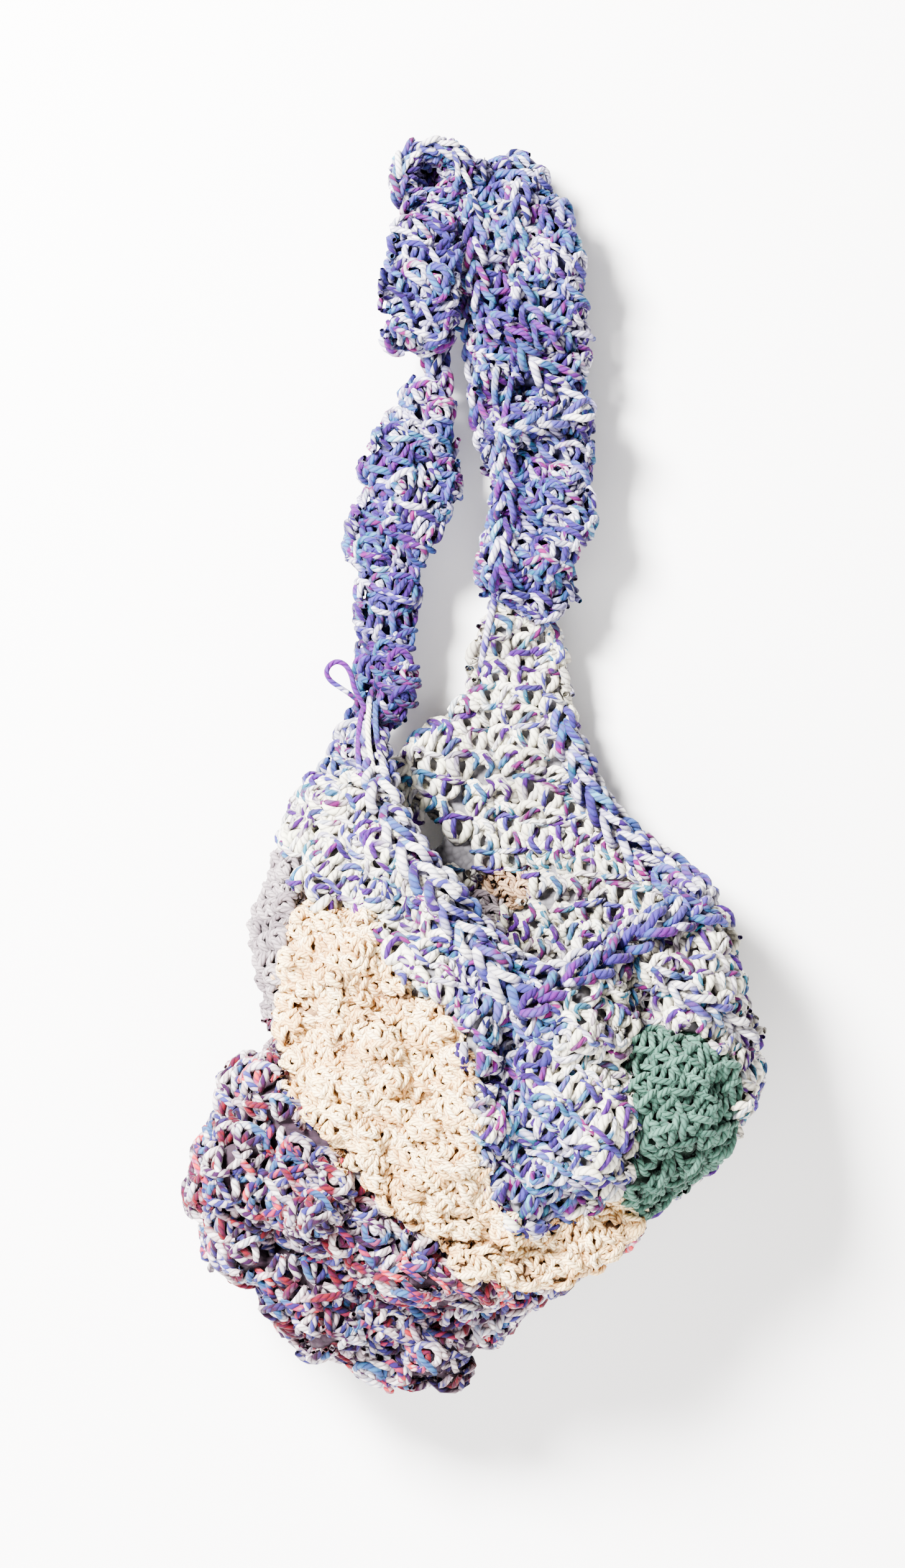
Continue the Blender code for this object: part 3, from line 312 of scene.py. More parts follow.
# Strands of each kind of stitch as control points: shares of the stitch's length and height, and
# how many strand radii they stand out of the fabric. A thin strand is marked with 1.
STRANDS = {
    "vee": (
        (0, ((0.04, -0.72, -0.5), (-0.18, -0.34, 1.0), (-0.36, 0.08, 1.6), (-0.34, 0.46, 1.0), (-0.16, 0.72, -0.6))),
        (0, ((0.12, -0.68, -0.4), (0.30, -0.26, 1.5), (0.40, 0.16, 1.6), (0.30, 0.50, 0.9), (0.08, 0.74, -0.6))),
        (0, ((-0.74, 0.20, -0.5), (-0.34, 0.42, 1.6), (0.14, 0.48, 2.2), (0.52, 0.32, 1.4), (0.76, 0.10, -0.5))),
        (0, ((-0.04, -0.40, -0.6), (0.04, -0.02, 0.6), (-0.02, 0.26, 0.7), (-0.14, 0.50, -0.6))),
    ),
    "hook": (
        (0, ((-0.36, -0.60, -0.5), (-0.50, 0.02, 1.3), (-0.18, 0.46, 2.0), (0.28, 0.40, 2.0), (0.46, -0.06, 1.3), (0.32, -0.60, -0.5))),
        (0, ((-0.16, -0.66, -0.5), (-0.14, -0.14, 0.9), (0.06, 0.12, 1.1), (0.16, -0.24, 0.8), (0.10, -0.68, -0.5))),
        (0, ((-0.74, 0.36, -0.5), (-0.42, 0.18, 0.9), (-0.06, -0.26, 2.0), (0.36, -0.52, 1.3), (0.70, -0.64, -0.5))),
        (0, ((-0.34, 0.74, -0.6), (0.10, 0.62, 1.0), (0.50, 0.42, 1.0), (0.74, 0.20, -0.6))),
    ),
    "cross": (
        (0, ((-0.62, -0.68, -0.5), (-0.28, -0.24, 1.0), (0.18, 0.22, 1.1), (0.58, 0.66, -0.5))),
        (0, ((-0.66, 0.58, -0.4), (-0.26, 0.22, 2.3), (0.22, -0.22, 2.2), (0.62, -0.60, -0.4))),
        (0, ((-0.12, -0.72, -0.5), (0.24, -0.44, 1.3), (0.50, -0.06, 1.2), (0.64, 0.40, -0.5))),
        (0, ((-0.68, -0.18, -0.5), (-0.44, 0.24, 1.2), (-0.12, 0.54, 1.3), (0.24, 0.76, -0.5))),
    ),
    "post": (
        (0, ((-0.24, -0.74, -0.4), (-0.30, -0.22, 1.3), (0.04, 0.16, 2.1), (0.16, 0.72, -0.4))),
        (0, ((0.22, -0.72, -0.4), (0.06, -0.26, 2.1), (-0.18, 0.12, 1.2), (0.20, 0.70, -0.5))),
        (0, ((-0.70, -0.22, -0.5), (-0.52, 0.20, 1.1), (-0.38, 0.46, 1.2), (-0.06, 0.76, -0.5))),
        (0, ((0.36, -0.58, -0.5), (0.56, -0.08, 1.3), (0.48, 0.34, 1.2), (0.60, 0.74, -0.5))),
    ),
    "fat_vee": (
        (0, ((0.02, -0.74, -0.5), (-0.26, -0.30, 0.8), (-0.38, 0.14, 1.0), (-0.16, 0.70, -0.5))),
        (0, ((0.14, -0.70, -0.4), (0.38, -0.20, 1.0), (0.34, 0.26, 0.9), (0.04, 0.72, -0.5))),
        (1, ((0.02, -0.66, 0.3), (-0.10, -0.22, 1.7), (-0.20, 0.20, 2.0), (0.00, 0.66, 0.3))),
        (1, ((-0.68, 0.28, 0.3), (-0.22, 0.46, 1.8), (0.24, 0.40, 2.0), (0.68, 0.50, 0.3))),
    ),
    "fat_hook": (
        (0, ((-0.50, -0.56, -0.5), (-0.40, 0.24, 0.9), (0.06, 0.48, 1.2), (0.44, 0.12, 1.0), (0.36, -0.58, -0.5))),
        (0, ((-0.24, -0.70, -0.5), (-0.02, -0.34, 0.7), (0.10, 0.02, 0.6), (0.02, 0.44, -0.5))),
        (1, ((-0.48, -0.60, 0.3), (-0.14, -0.04, 1.8), (0.20, 0.24, 2.0), (0.62, 0.32, 0.3))),
        (1, ((0.04, -0.66, 0.4), (0.30, -0.36, 1.6), (0.54, -0.30, 1.5), (0.72, -0.50, 0.3))),
    ),
    "fat_bar": (
        (0, ((-0.72, -0.20, -0.5), (-0.22, 0.04, 1.0), (0.26, 0.06, 1.0), (0.72, -0.14, -0.5))),
        (0, ((-0.54, 0.58, -0.5), (-0.10, 0.40, 0.9), (0.28, -0.20, 1.2), (0.56, -0.66, -0.5))),
        (1, ((0.12, -0.68, 0.3), (0.28, -0.22, 2.0), (0.10, 0.24, 2.0), (-0.20, 0.66, 0.3))),
        (1, ((-0.66, -0.50, 0.3), (-0.40, -0.20, 1.6), (-0.34, 0.14, 1.7), (-0.58, 0.46, 0.3))),
    ),
    "chain": (
        (0, ((-0.66, 0.03, -0.5), (-0.34, 0.14, 1.0), (0.08, 0.36, 1.5), (0.40, 0.50, 0.9), (0.66, 0.46, -0.3))),
        (0, ((-0.62, -0.06, -0.5), (-0.30, -0.16, 1.0), (0.12, -0.38, 1.5), (0.44, -0.50, 0.9), (0.70, -0.44, -0.3))),
    ),
}
STYLES = {
    "loose": ("vee", "hook", "cross", "post", "hook"),
    "even": ("vee", "post", "vee", "cross"),
    "knobbly": ("hook", "cross", "vee", "hook", "post"),
    "thick": ("fat_vee", "fat_hook", "fat_bar", "fat_vee"),
    "chain": ("chain", "chain", "chain"),
}
THIN_SHARE = 0.60


def rows(table):
    """The rows of a table whose first row names the columns, as dictionaries."""
    return [dict(zip(table[0], row)) for row in table[1:]]


def new_object(name, mesh, collection=None):
    obj = bpy.data.objects.new(name, mesh)
    (collection or bpy.context.scene.collection).objects.link(obj)
    return obj


def evaluated_mesh(obj):
    """The mesh of an object with its modifiers applied."""
    bpy.context.view_layer.update()
    graph = bpy.context.evaluated_depsgraph_get()
    return bpy.data.meshes.new_from_object(obj.evaluated_get(graph), depsgraph=graph)


def smooth_solid(node, voxel, rounds):
    """An evenly meshed, softened copy of a solid of the frame."""
    work = bmesh.new()
    work.from_mesh(frame["nodes"][node].data)
    bmesh.ops.remove_doubles(work, verts=work.verts, dist=1e-5)
    mesh = bpy.data.meshes.new(node + "_ground")
    work.to_mesh(mesh)
    work.free()
    obj = new_object(node + "_ground", mesh)
    remesh = obj.modifiers.new("even", "REMESH")
    remesh.mode = "VOXEL"
    remesh.voxel_size = voxel
    soften = obj.modifiers.new("soft", "SMOOTH")
    soften.factor = 0.5
    soften.iterations = rounds
    result = evaluated_mesh(obj)
    bpy.data.objects.remove(obj)
    return result


def mesh_arrays(mesh):
    """Vertices, their outward directions, and triangles of a mesh."""
    mesh.calc_loop_triangles()
    verts = np.empty(len(mesh.vertices) * 3)
    mesh.vertices.foreach_get("co", verts)
    normals = np.empty(len(mesh.vertices) * 3)
    mesh.vertices.foreach_get("normal", normals)
    tris = np.empty(len(mesh.loop_triangles) * 3, np.int32)
    mesh.loop_triangles.foreach_get("vertices", tris)
    return verts.reshape(-1, 3), normals.reshape(-1, 3), tris.reshape(-1, 3)


def wander(points, amount, size, seed):
    """A smooth random height for each point."""
    offset = Vector((seed * 3.7, seed * 1.3, seed * 2.1))
    return np.array([noise.noise(Vector(p) / size + offset) for p in points]) * amount


def picture_place(x, z):
    """Across and up in metres of a picture pixel."""
    return (x - PIN_PIXEL[0]) * METRES_PER_PIXEL, (PIN_PIXEL[1] - z) * METRES_PER_PIXEL


def folded(points):
    """Points moved towards the wall or away from it by the folds of the cloth."""
    points = np.array(points, float)
    front = np.clip((POUCH_MIDDLE - points[:, 1]) / 0.016 + 0.5, 0.0, 1.0)
    front = np.where(points[:, 2] > -0.32, np.clip((0.006 - points[:, 1]) / 0.006, 0.0, 1.0), front)
    for fold in rows(FOLDS):
        start = np.array(picture_place(fold["from_x"], fold["from_z"]))
        run = np.array(picture_place(fold["to_x"], fold["to_z"])) - start
        away = points[:, (0, 2)] - start
        share = np.clip(away @ run / (run @ run), 0.0, 1.0)
        gap = np.linalg.norm(away - share[:, None] * run, axis=1) / (fold["wide"] * METRES_PER_PIXEL)
        points[:, 1] += fold["push"] * np.exp(-(gap**2)) * front
    return points


def row_lines(verts, normals, tris, field, keep):
    """Runs of points along which a field has a whole value, each point with its outward direction."""
    field = field + 1e-7
    values = field[tris]
    low = np.ceil(values.min(axis=1)).astype(int)
    high = np.floor(values.max(axis=1)).astype(int)
    links, places = {}, {}
    for index in np.nonzero(high >= low)[0]:
        if not keep[index]:
            continue
        corners = tris[index]
        for level in range(low[index], high[index] + 1):
            crossed = []
            for a, b in ((0, 1), (1, 2), (2, 0)):
                i, j = int(corners[a]), int(corners[b])
                if (field[i] - level) * (field[j] - level) < 0:
                    key = (min(i, j), max(i, j), level)
                    crossed.append(key)
                    if key not in places:
                        share = (level - field[key[0]]) / (field[key[1]] - field[key[0]])
                        places[key] = share
            if len(crossed) == 2:
                links.setdefault(crossed[0], []).append(crossed[1])
                links.setdefault(crossed[1], []).append(crossed[0])
    lines = []
    unused = dict.fromkeys(links)
    ends = [key for key in links if len(links[key]) == 1]
    for start in ends + list(links):
        if start not in unused:
            continue
        run = [start]
        del unused[start]
        while True:
            ahead = [key for key in links[run[-1]] if key in unused]
            if not ahead:
                break
            run.append(ahead[0])
            del unused[ahead[0]]
        closed = len(run) > 4 and run[0] in links[run[-1]]
        where, out = [], []
        for key in run:
            share = places[key]
            where.append(verts[key[0]] * (1 - share) + verts[key[1]] * share)
            out.append(normals[key[0]] * (1 - share) + normals[key[1]] * share)
        lines.append((np.array(where), np.array(out), closed, run[0][2]))
    return lines


def long_enough(line, shortest):
    points = line[0]
    return len(points) > 2 and np.linalg.norm(np.diff(points[:, :3], axis=0), axis=1).sum() > shortest


def fabric_lines(ground, flat, flat_normals, bobbles, look, seed):
    """The rows of a fabric over its ground, with a second set where the first would lie too far apart.

    Where the rows lie is found on the cloth as it was before its folds and bobbles. Each point of a
    row has its place, whether it is hidden, whether it faces forward, and how hollow the cloth is.
    """
    verts, normals, tris = mesh_arrays(ground)
    hidden = hidden_at(flat, flat_normals) if look["piece"] in POUCH else np.zeros(len(flat))
    # How hollow the cloth is between its bobbles, which the yarn material turns into painted shade
    hollow = np.clip(-bobbles / look["lumps"] * 2.6, 0.0, 1.0)
    verts = np.column_stack((verts, hidden, flat_normals[:, 1] < 0.0, hollow))
    tilt = math.radians(look["tilt"])
    across_rows = np.array([-math.sin(tilt), 0.12, math.cos(tilt)])
    across_rows /= np.linalg.norm(across_rows)
    other = np.array([0.25, 0.97, 0.1])
    other /= np.linalg.norm(other)
    drift = wander(flat, look["sway"], 0.055, seed)
    facing = np.abs(flat_normals @ across_rows)[tris].mean(axis=1)
    steep = facing > 0.80
    lines = []
    for direction, keep in ((across_rows, ~steep), (other, steep)):
        field = (flat @ direction + drift) / look["tall"]
        lines += row_lines(verts, normals, tris, field, keep)
    return [line for line in lines if long_enough(line, look["length"] * 0.6)]


def zone_at(points):
    """How strongly the yarn runs violet at these points."""
    total = np.zeros(len(points))
    for spot in rows(VIOLET_SPOTS):
        gap = np.hypot(points[:, 0] - spot["x"], points[:, 2] - spot["z"]) / spot["radius"]
        near = (points[:, 1] < -0.02) | (points[:, 2] > -0.32)
        total += spot["strength"] * np.exp(-(gap**2)) * near
    return np.clip(total, 0.0, 1.0)


def outer_at(points, outs):
    """1 where a point lies on the outer side of the pouch, -1 on its inner side, between at rims."""
    away = (points[:, 1] - POUCH_MIDDLE) * outs[:, 1] + points[:, 0] * outs[:, 0]
    return np.clip(away / 0.015, -1.0, 1.0)


def hidden_at(points, outs):
    """1 where a stitch lies on the inner side of the pouch, out of close sight."""
    deep = (points[:, 2] < MOUTH_LOW) | (points[:, 1] < POUCH_MIDDLE)
    return ((outer_at(points, outs) < -0.2) & deep).astype(float)


def rows_object(name, lines):
    """The rows as a mesh of edges that carries what a stitch needs to know."""
    points, outs, edges, row_of = [], [], [], []
    for where, out, closed, level in lines:
        start = len(points)
        points += list(where)
        outs += list(out)
        row_of += [level * 0.618 % 7.0] * len(where)
        edges += [(start + i, start + i + 1) for i in range(len(where) - 1)]
        if closed:
            edges.append((start + len(where) - 1, start))
    mesh = bpy.data.meshes.new(name)
    points = np.array(points)
    mesh.from_pydata([tuple(p) for p in points[:, :3]], edges, [])
    outs = np.array(outs)
    outs /= np.maximum(np.linalg.norm(outs, axis=1, keepdims=True), 1e-9)
    mesh.attributes.new("out", "FLOAT_VECTOR", "POINT").data.foreach_set("vector", outs.ravel())
    mesh.attributes.new("row", "FLOAT", "POINT").data.foreach_set("value", np.array(row_of))
    mesh.attributes.new("zone", "FLOAT", "POINT").data.foreach_set("value", zone_at(points))
    for label, column in (("hidden", 3), ("hollow", 5)):
        values = points[:, column] if points.shape[1] > 3 else np.zeros(len(points))
        mesh.attributes.new(label, "FLOAT", "POINT").data.foreach_set("value", values.copy())
    return new_object(name, mesh)


def through(points, steps):
    """A smooth curve through control points."""
    points = [Vector(p) for p in points]
    padded = [points[0] * 2 - points[1], *points, points[-1] * 2 - points[-2]]
    curve = []
    spans = len(points) - 1
    for step in range(steps + 1):
        place = min(step / steps * spans, spans - 1e-6)
        index, t = int(place), place - int(place)
        a, b, c, d = padded[index : index + 4]
        curve.append(
            0.5 * (2 * b + (c - a) * t + (2 * a - 5 * b + 4 * c - d) * t**2 + (3 * b - 3 * c + d - a) * t**3)
        )
    return curve


def tube_arrays(curve, radius, sides, taper=0.75):
    """Vertices, faces and a run-and-turn map of a tube along a curve."""
    verts, faces, places = [], [], []
    side, run = None, 0.0
    last = len(curve) - 1
    for i, centre in enumerate(curve):
        along = (curve[min(i + 1, last)] - curve[max(i - 1, 0)]).normalized()
        if side is None:
            side = along.orthogonal()
        side = (side - along * side.dot(along)).normalized()
        square = along.cross(side)
        if i:
            run += (centre - curve[i - 1]).length
        size = radius * (taper if i in (0, last) else 1.0)
        for k in range(sides + 1):
            turn = 2 * math.pi * k / sides
            places.append((run * 1000.0, k / sides))
            if k < sides:
                verts.append(centre + side * (size * math.cos(turn)) + square * (size * math.sin(turn)))
    loops = []
    for i in range(last):
        for k in range(sides):
            a, b = i * sides + k, i * sides + (k + 1) % sides
            faces.append((a, b, b + sides, a + sides))
            u = i * (sides + 1) + k
            loops += [places[u], places[u + 1], places[u + sides + 2], places[u + sides + 1]]
    return verts, faces, loops


def tube_mesh(name, strands, sunk=False):
    """A mesh of several strands. Each is (curve, radius, sides, which yarn, its own number).

    Where the strands are sunk into cloth they carry how deep each point lies, in radii; the yarn material paints shade
    on the deeper points.
    """
    verts, faces, places, kinds, numbers, depths = [], [], [], [], [], []
    for curve, radius, sides, kind, number in strands:
        more, new_faces, loops = tube_arrays(curve, radius, sides)
        start = len(verts)
        verts += more
        faces += [tuple(v + start for v in face) for face in new_faces]
        places += loops
        kinds += [float(kind)] * len(more)
        numbers += [number] * len(more)
        depths += [vert.z / radius if sunk else 2.0 for vert in more]
    mesh = bpy.data.meshes.new(name)
    mesh.from_pydata([tuple(v) for v in verts], [], faces)
    mesh.attributes.new("depth", "FLOAT", "POINT").data.foreach_set("value", depths)
    layer = mesh.uv_layers.new(name="UVMap")
    layer.data.foreach_set("uv", np.array(places).ravel())
    mesh.attributes.new("kind", "FLOAT", "POINT").data.foreach_set("value", kinds)
    mesh.attributes.new("strand", "FLOAT", "POINT").data.foreach_set("value", numbers)
    mesh.shade_smooth()
    return mesh


def stitch_collection(name, look, style, seed):
    """The stitches of a style, each bent a little its own way, first in full and then plain."""
    collection = bpy.data.collections.new(name)
    full = (5, 5) if style == "knobbly" else (6, 6)
    for plain, (steps, sides) in enumerate((full, (3, 4))):
        chance = random.Random(seed)
        for number, kind in enumerate(STYLES[style]):
            strands = []
            for thin, controls in STRANDS[kind]:
                radius = look["radius"] * (THIN_SHARE if thin else 1.0) * chance.uniform(0.92, 1.12)
                bent = [
                    (
                        (x + chance.uniform(-0.08, 0.08)) * look["length"],
                        (y + chance.uniform(-0.08, 0.08)) * look["tall"],
                        z * look["radius"],
                    )
                    for x, y, z in controls
                ]
                strands.append((through(bent, steps), radius, sides, thin, chance.random()))
            mesh = tube_mesh(f"{name}_{plain}{number:02d}", strands, True)
            new_object(mesh.name, mesh, collection)
    return collection


def socket(tree, name, kind, default=None):
    made = tree.interface.new_socket(name=name, in_out="INPUT", socket_type=kind)
    if default is not None:
        made.default_value = default
    return made


def stitch_tree():
    """Sets a stitch at every step of every row, then makes it all one mesh over its ground."""
    tree = bpy.data.node_groups.new("Stitches Along Rows", "GeometryNodeTree")
    socket(tree, "Rows", "NodeSocketGeometry")
    socket(tree, "Stitches", "NodeSocketCollection")
    socket(tree, "Ground", "NodeSocketObject")
    socket(tree, "Yarn", "NodeSocketMaterial")
    socket(tree, "Stitch Count", "NodeSocketInt", 4)
    socket(tree, "Stitch Length", "NodeSocketFloat", 0.01)
    socket(tree, "Lift", "NodeSocketFloat", 0.0)
    socket(tree, "Turn", "NodeSocketFloat", 0.2)
    socket(tree, "Size Change", "NodeSocketFloat", 0.1)
    socket(tree, "Slip", "NodeSocketFloat", 0.001)
    socket(tree, "Dyed Length", "NodeSocketFloat", 0.09)
    socket(tree, "Seed", "NodeSocketInt", 1)
    tree.interface.new_socket(name="Geometry", in_out="OUTPUT", socket_type="NodeSocketGeometry")
    nodes, links = tree.nodes, tree.links

    def node(kind, **settings):
        made = nodes.new(kind)
        for key, value in settings.items():
            setattr(made, key, value)
        return made

    def attribute(name, kind="FLOAT"):
        made = node("GeometryNodeInputNamedAttribute", data_type=kind)
        made.inputs["Name"].default_value = name
        return made.outputs["Attribute"]

    def maths(operation, one, two):
        made = node("ShaderNodeMath", operation=operation)
        for index, value in enumerate((one, two)):
            if isinstance(value, float):
                made.inputs[index].default_value = value
            else:
                links.new(value, made.inputs[index])
        return made.outputs[0]

    def chance(kind, low, high, shift):
        made = node("FunctionNodeRandomValue", data_type=kind)
        ends = [s for s in made.inputs if s.name in ("Min", "Max") and s.enabled]
        for end, value in zip(ends, (low, high)):
            if isinstance(value, (int, float, tuple)):
                end.default_value = value
            else:
                links.new(value, end)
        links.new(maths("ADD", given.outputs["Seed"], float(shift)), made.inputs["Seed"])
        return [s for s in made.outputs if s.enabled][0]

    given = node("NodeGroupInput")
    curve = node("GeometryNodeMeshToCurve")
    links.new(given.outputs["Rows"], curve.inputs["Mesh"])
    even = node("GeometryNodeResampleCurve", mode="LENGTH")
    links.new(curve.outputs[0], even.inputs["Curve"])
    links.new(given.outputs["Stitch Length"], even.inputs["Length"])
    travel = node("GeometryNodeStoreNamedAttribute", data_type="FLOAT", domain="POINT")
    travel.inputs["Name"].default_value = "travel"
    links.new(even.outputs[0], travel.inputs["Geometry"])
    links.new(node("GeometryNodeSplineParameter").outputs["Length"], travel.inputs["Value"])

    facing = node("FunctionNodeAxesToRotation", primary_axis="Z", secondary_axis="X")
    links.new(attribute("out", "FLOAT_VECTOR"), facing.inputs["Primary Axis"])
    links.new(node("GeometryNodeInputTangent").outputs[0], facing.inputs["Secondary Axis"])

    kinds = node("GeometryNodeCollectionInfo")
    kinds.inputs["Separate Children"].default_value = True
    links.new(given.outputs["Stitches"], kinds.inputs["Collection"])
    last = maths("SUBTRACT", given.outputs["Stitch Count"], 1.0)
    place = node("GeometryNodeInstanceOnPoints")
    place.inputs["Pick Instance"].default_value = True
    links.new(travel.outputs[0], place.inputs["Points"])
    links.new(kinds.outputs[0], place.inputs["Instance"])
    plain = maths("MULTIPLY", maths("GREATER_THAN", attribute("hidden"), 0.5), given.outputs["Stitch Count"])
    links.new(maths("ADD", chance("INT", 0, last, 3), plain), place.inputs["Instance Index"])
    links.new(facing.outputs[0], place.inputs["Rotation"])
    smaller = maths("SUBTRACT", 1.0, given.outputs["Size Change"])
    larger = maths("ADD", 1.0, given.outputs["Size Change"])
    links.new(chance("FLOAT", smaller, larger, 5), place.inputs["Scale"])

    spin = node("GeometryNodeRotateInstances")
    turn = node("ShaderNodeCombineXYZ")
    half = maths("MULTIPLY", given.outputs["Turn"], 0.5)
    less = maths("MULTIPLY", given.outputs["Turn"], -1.0)
    less_half = maths("MULTIPLY", given.outputs["Turn"], -0.5)
    links.new(chance("FLOAT", less_half, half, 7), turn.inputs[0])
    links.new(chance("FLOAT", less_half, half, 9), turn.inputs[1])
    links.new(chance("FLOAT", less, given.outputs["Turn"], 11), turn.inputs[2])
    links.new(place.outputs[0], spin.inputs["Instances"])
    links.new(turn.outputs[0], spin.inputs["Rotation"])

    slip = node("GeometryNodeTranslateInstances")
    shift = node("ShaderNodeCombineXYZ")
    back = maths("MULTIPLY", given.outputs["Slip"], -1.0)
    links.new(chance("FLOAT", back, given.outputs["Slip"], 13), shift.inputs[0])
    links.new(chance("FLOAT", back, given.outputs["Slip"], 15), shift.inputs[1])
    links.new(given.outputs["Lift"], shift.inputs[2])
    links.new(spin.outputs[0], slip.inputs["Instances"])
    links.new(shift.outputs[0], slip.inputs["Translation"])

    dye = node("GeometryNodeStoreNamedAttribute", data_type="FLOAT", domain="INSTANCE")
    dye.inputs["Name"].default_value = "dye"
    run = maths("DIVIDE", attribute("travel"), given.outputs["Dyed Length"])
    start = maths("ADD", run, attribute("row"))
    links.new(maths("ADD", start, chance("FLOAT", 0.0, 0.12, 17)), dye.inputs["Value"])
    links.new(slip.outputs[0], dye.inputs["Geometry"])

    whole = node("GeometryNodeRealizeInstances")
    links.new(dye.outputs[0], whole.inputs[0])
    yarn = node("GeometryNodeSetMaterial")
    links.new(whole.outputs[0], yarn.inputs["Geometry"])
    links.new(given.outputs["Yarn"], yarn.inputs["Material"])
    ground = node("GeometryNodeObjectInfo")
    links.new(given.outputs["Ground"], ground.inputs["Object"])
    both = node("GeometryNodeJoinGeometry")
    links.new(ground.outputs["Geometry"], both.inputs[0])
    links.new(yarn.outputs[0], both.inputs[0])
    out = node("NodeGroupOutput")
    links.new(both.outputs[0], out.inputs[0])
    return tree


def set_inputs(modifier, values):
    """Sets named inputs of a node modifier by their identifiers."""
    for item in modifier.node_group.interface.items_tree:
        if item.item_type == "SOCKET" and item.in_out == "INPUT" and item.name in values:
            modifier[item.identifier] = values[item.name]


def bake_stitches(name, lines, ground, look, style, seed, lift, lying=0.22):
    """One plain mesh of a fabric's stitches and its ground."""
    carrier = rows_object(name + "_rows", lines)
    stitches = stitch_collection(name + "_stitches", look, style, seed)
    bpy.context.scene.collection.children.link(stitches)
    tree = bpy.data.node_groups.get("Stitches Along Rows") or stitch_tree()
    work = carrier.modifiers.new("stitches", "NODES")
    work.node_group = tree
    settings = bpy.context.scene.crochet_bag
    values = {
        "Stitches": stitches,
        "Yarn": yarn_material(look["yarn"]),
        "Stitch Count": len(STYLES[style]),
        "Stitch Length": look["length"],
        "Lift": lift,
        "Turn": lying * settings.looseness,
        "Size Change": 0.10 * settings.looseness,
        "Slip": look["radius"] * 0.55 * settings.looseness,
        "Dyed Length": settings.dyed_length,
        "Seed": seed + settings.seed,
    }
    if ground is not None:
        values["Ground"] = ground
    set_inputs(work, values)
    mesh = evaluated_mesh(carrier)
    mesh.name = name
    for stitch in list(stitches.objects):
        bpy.data.objects.remove(stitch)
    bpy.data.collections.remove(stitches)
    bpy.data.objects.remove(carrier)
    return mesh


def keep_piece(name, mesh, node):
    """Hands a finished mesh over to the frame in place of its solid."""
    piece = new_object(name, mesh)
    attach(piece, "root")
    if node:
        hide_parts(node)
    piece.data.calc_loop_triangles()
    print(name, len(piece.data.loop_triangles), "triangles")
    return piece


def moved_out(ground, distance):
    """Moves the ground of a fabric outwards, by one distance or by one for each point."""
    verts, normals, _ = mesh_arrays(ground)
    ground.vertices.foreach_set("co", (verts + normals * np.reshape(distance, (-1, 1))).ravel())
    ground.update()


def clear_of_holes(line):
    """The stretches of a row that stay out of the back panel's holes."""
    where = line[0]
    keep = np.ones(len(where), bool)
    for hole in rows(HOLES):
        keep &= np.hypot(where[:, 0] - hole["x"], where[:, 2] - hole["z"]) > hole["radius"]
    return runs_where(line, keep)


def work_fabric(look):
    """Works one fabric of the table over its solid."""
    number = [row["piece"] for row in rows(FABRICS)].index(look["piece"]) + 1
    seed = 17 * number
    ground = smooth_solid(look["piece"], bpy.context.scene.crochet_bag.ground_size, 3)
    flat, flat_normals, _ = mesh_arrays(ground)
    ground.vertices.foreach_set("co", folded(flat).ravel())
    ground.update()
    verts, _, _ = mesh_arrays(ground)
    bobbles = wander(verts, look["lumps"], look["lump"], seed + 5)
    outer = outer_at(flat, flat_normals) if look["piece"] in POUCH else 1.0
    moved_out(ground, bobbles * outer - look["under"])
    lines = fabric_lines(ground, flat, flat_normals, bobbles, look, seed)
    if look["piece"] == "back_panel":
        lines = [run for line in lines for run in clear_of_holes(line)]
    lines = [line for line in lines if long_enough(line, look["length"] * 0.6)]
    moved_out(ground, -SINK * (0.56 + 0.44 * outer) * np.ones(len(flat)))
    ground.materials.clear()
    ground.materials.append(ground_material(look["yarn"]))
    ground.shade_smooth()
    below = new_object(look["piece"] + "_below", ground)
    if not look["split"]:
        mesh = bake_stitches(look["piece"], lines, below, look, look["style"], seed, 0.0)
        keep_piece(look["piece"], mesh, look["piece"])
    else:
        for half, sign in (("front", -1.0), ("rear", 1.0)):
            part = [run for line in lines for run in runs_where(line, (line[0][:, 4] - 0.5) * sign < 0)]
            part = [run for run in part if long_enough(run, look["length"] * 0.6)]
            name = f"{look['piece']}_{half}"
            mesh = bake_stitches(
                name, part, below if half == "front" else None, look, look["style"], seed, 0.0
            )
            keep_piece(name, mesh, look["piece"])
    bpy.data.objects.remove(below)


def runs_where(line, keep):
    """The stretches of a row whose points are to be kept."""
    where, out, closed, level = line
    if keep.all():
        return [line]
    if not keep.any():
        return []
    if closed:
        shift = int(np.argmin(keep))
        where, out, keep = (np.roll(a, -shift, axis=0) for a in (where, out, keep))
    found, start = [], None
    for i, good in enumerate([*keep, False]):
        if good and start is None:
            start = i
        if not good and start is not None:
            if i - start > 2:
                found.append((where[start:i], out[start:i], False, level))
            start = None
    return found


def middle_line(node, step):
    """The line along the middle of a long solid, found by walking its surface from one end."""
    work = bmesh.new()
    work.from_mesh(frame["nodes"][node].data)
    bmesh.ops.remove_doubles(work, verts=work.verts, dist=1e-5)
    bmesh.ops.triangulate(work, faces=work.faces)

    def reach(start):
        far = {start: 0.0}
        front = [start]
        while front:
            ahead = []
            for vert in front:
                for edge in vert.link_edges:
                    other = edge.other_vert(vert)
                    length = far[vert] + edge.calc_length()
                    if length < far.get(other, 1e9) - 1e-9:
                        far[other] = length
                        ahead.append(other)
            front = ahead
        return far

    work.verts.ensure_lookup_table()
    first = reach(work.verts[0])
    end = max(first, key=first.get)
    far = reach(end)
    total = max(far.values())
    count = max(4, int(total / step))
    bins = [[] for _ in range(count)]
    for vert, length in far.items():
        bins[min(count - 1, int(length / total * count))].append(vert.co.copy())
    work.free()
    middles = [sum(group, Vector()) / len(group) for group in bins if group]
    for _ in range(2):
        middles[1:-1] = [(a + 2 * b + c) / 4 for a, b, c in zip(middles, middles[1:], middles[2:])]
    return through(middles, len(middles) * 3)


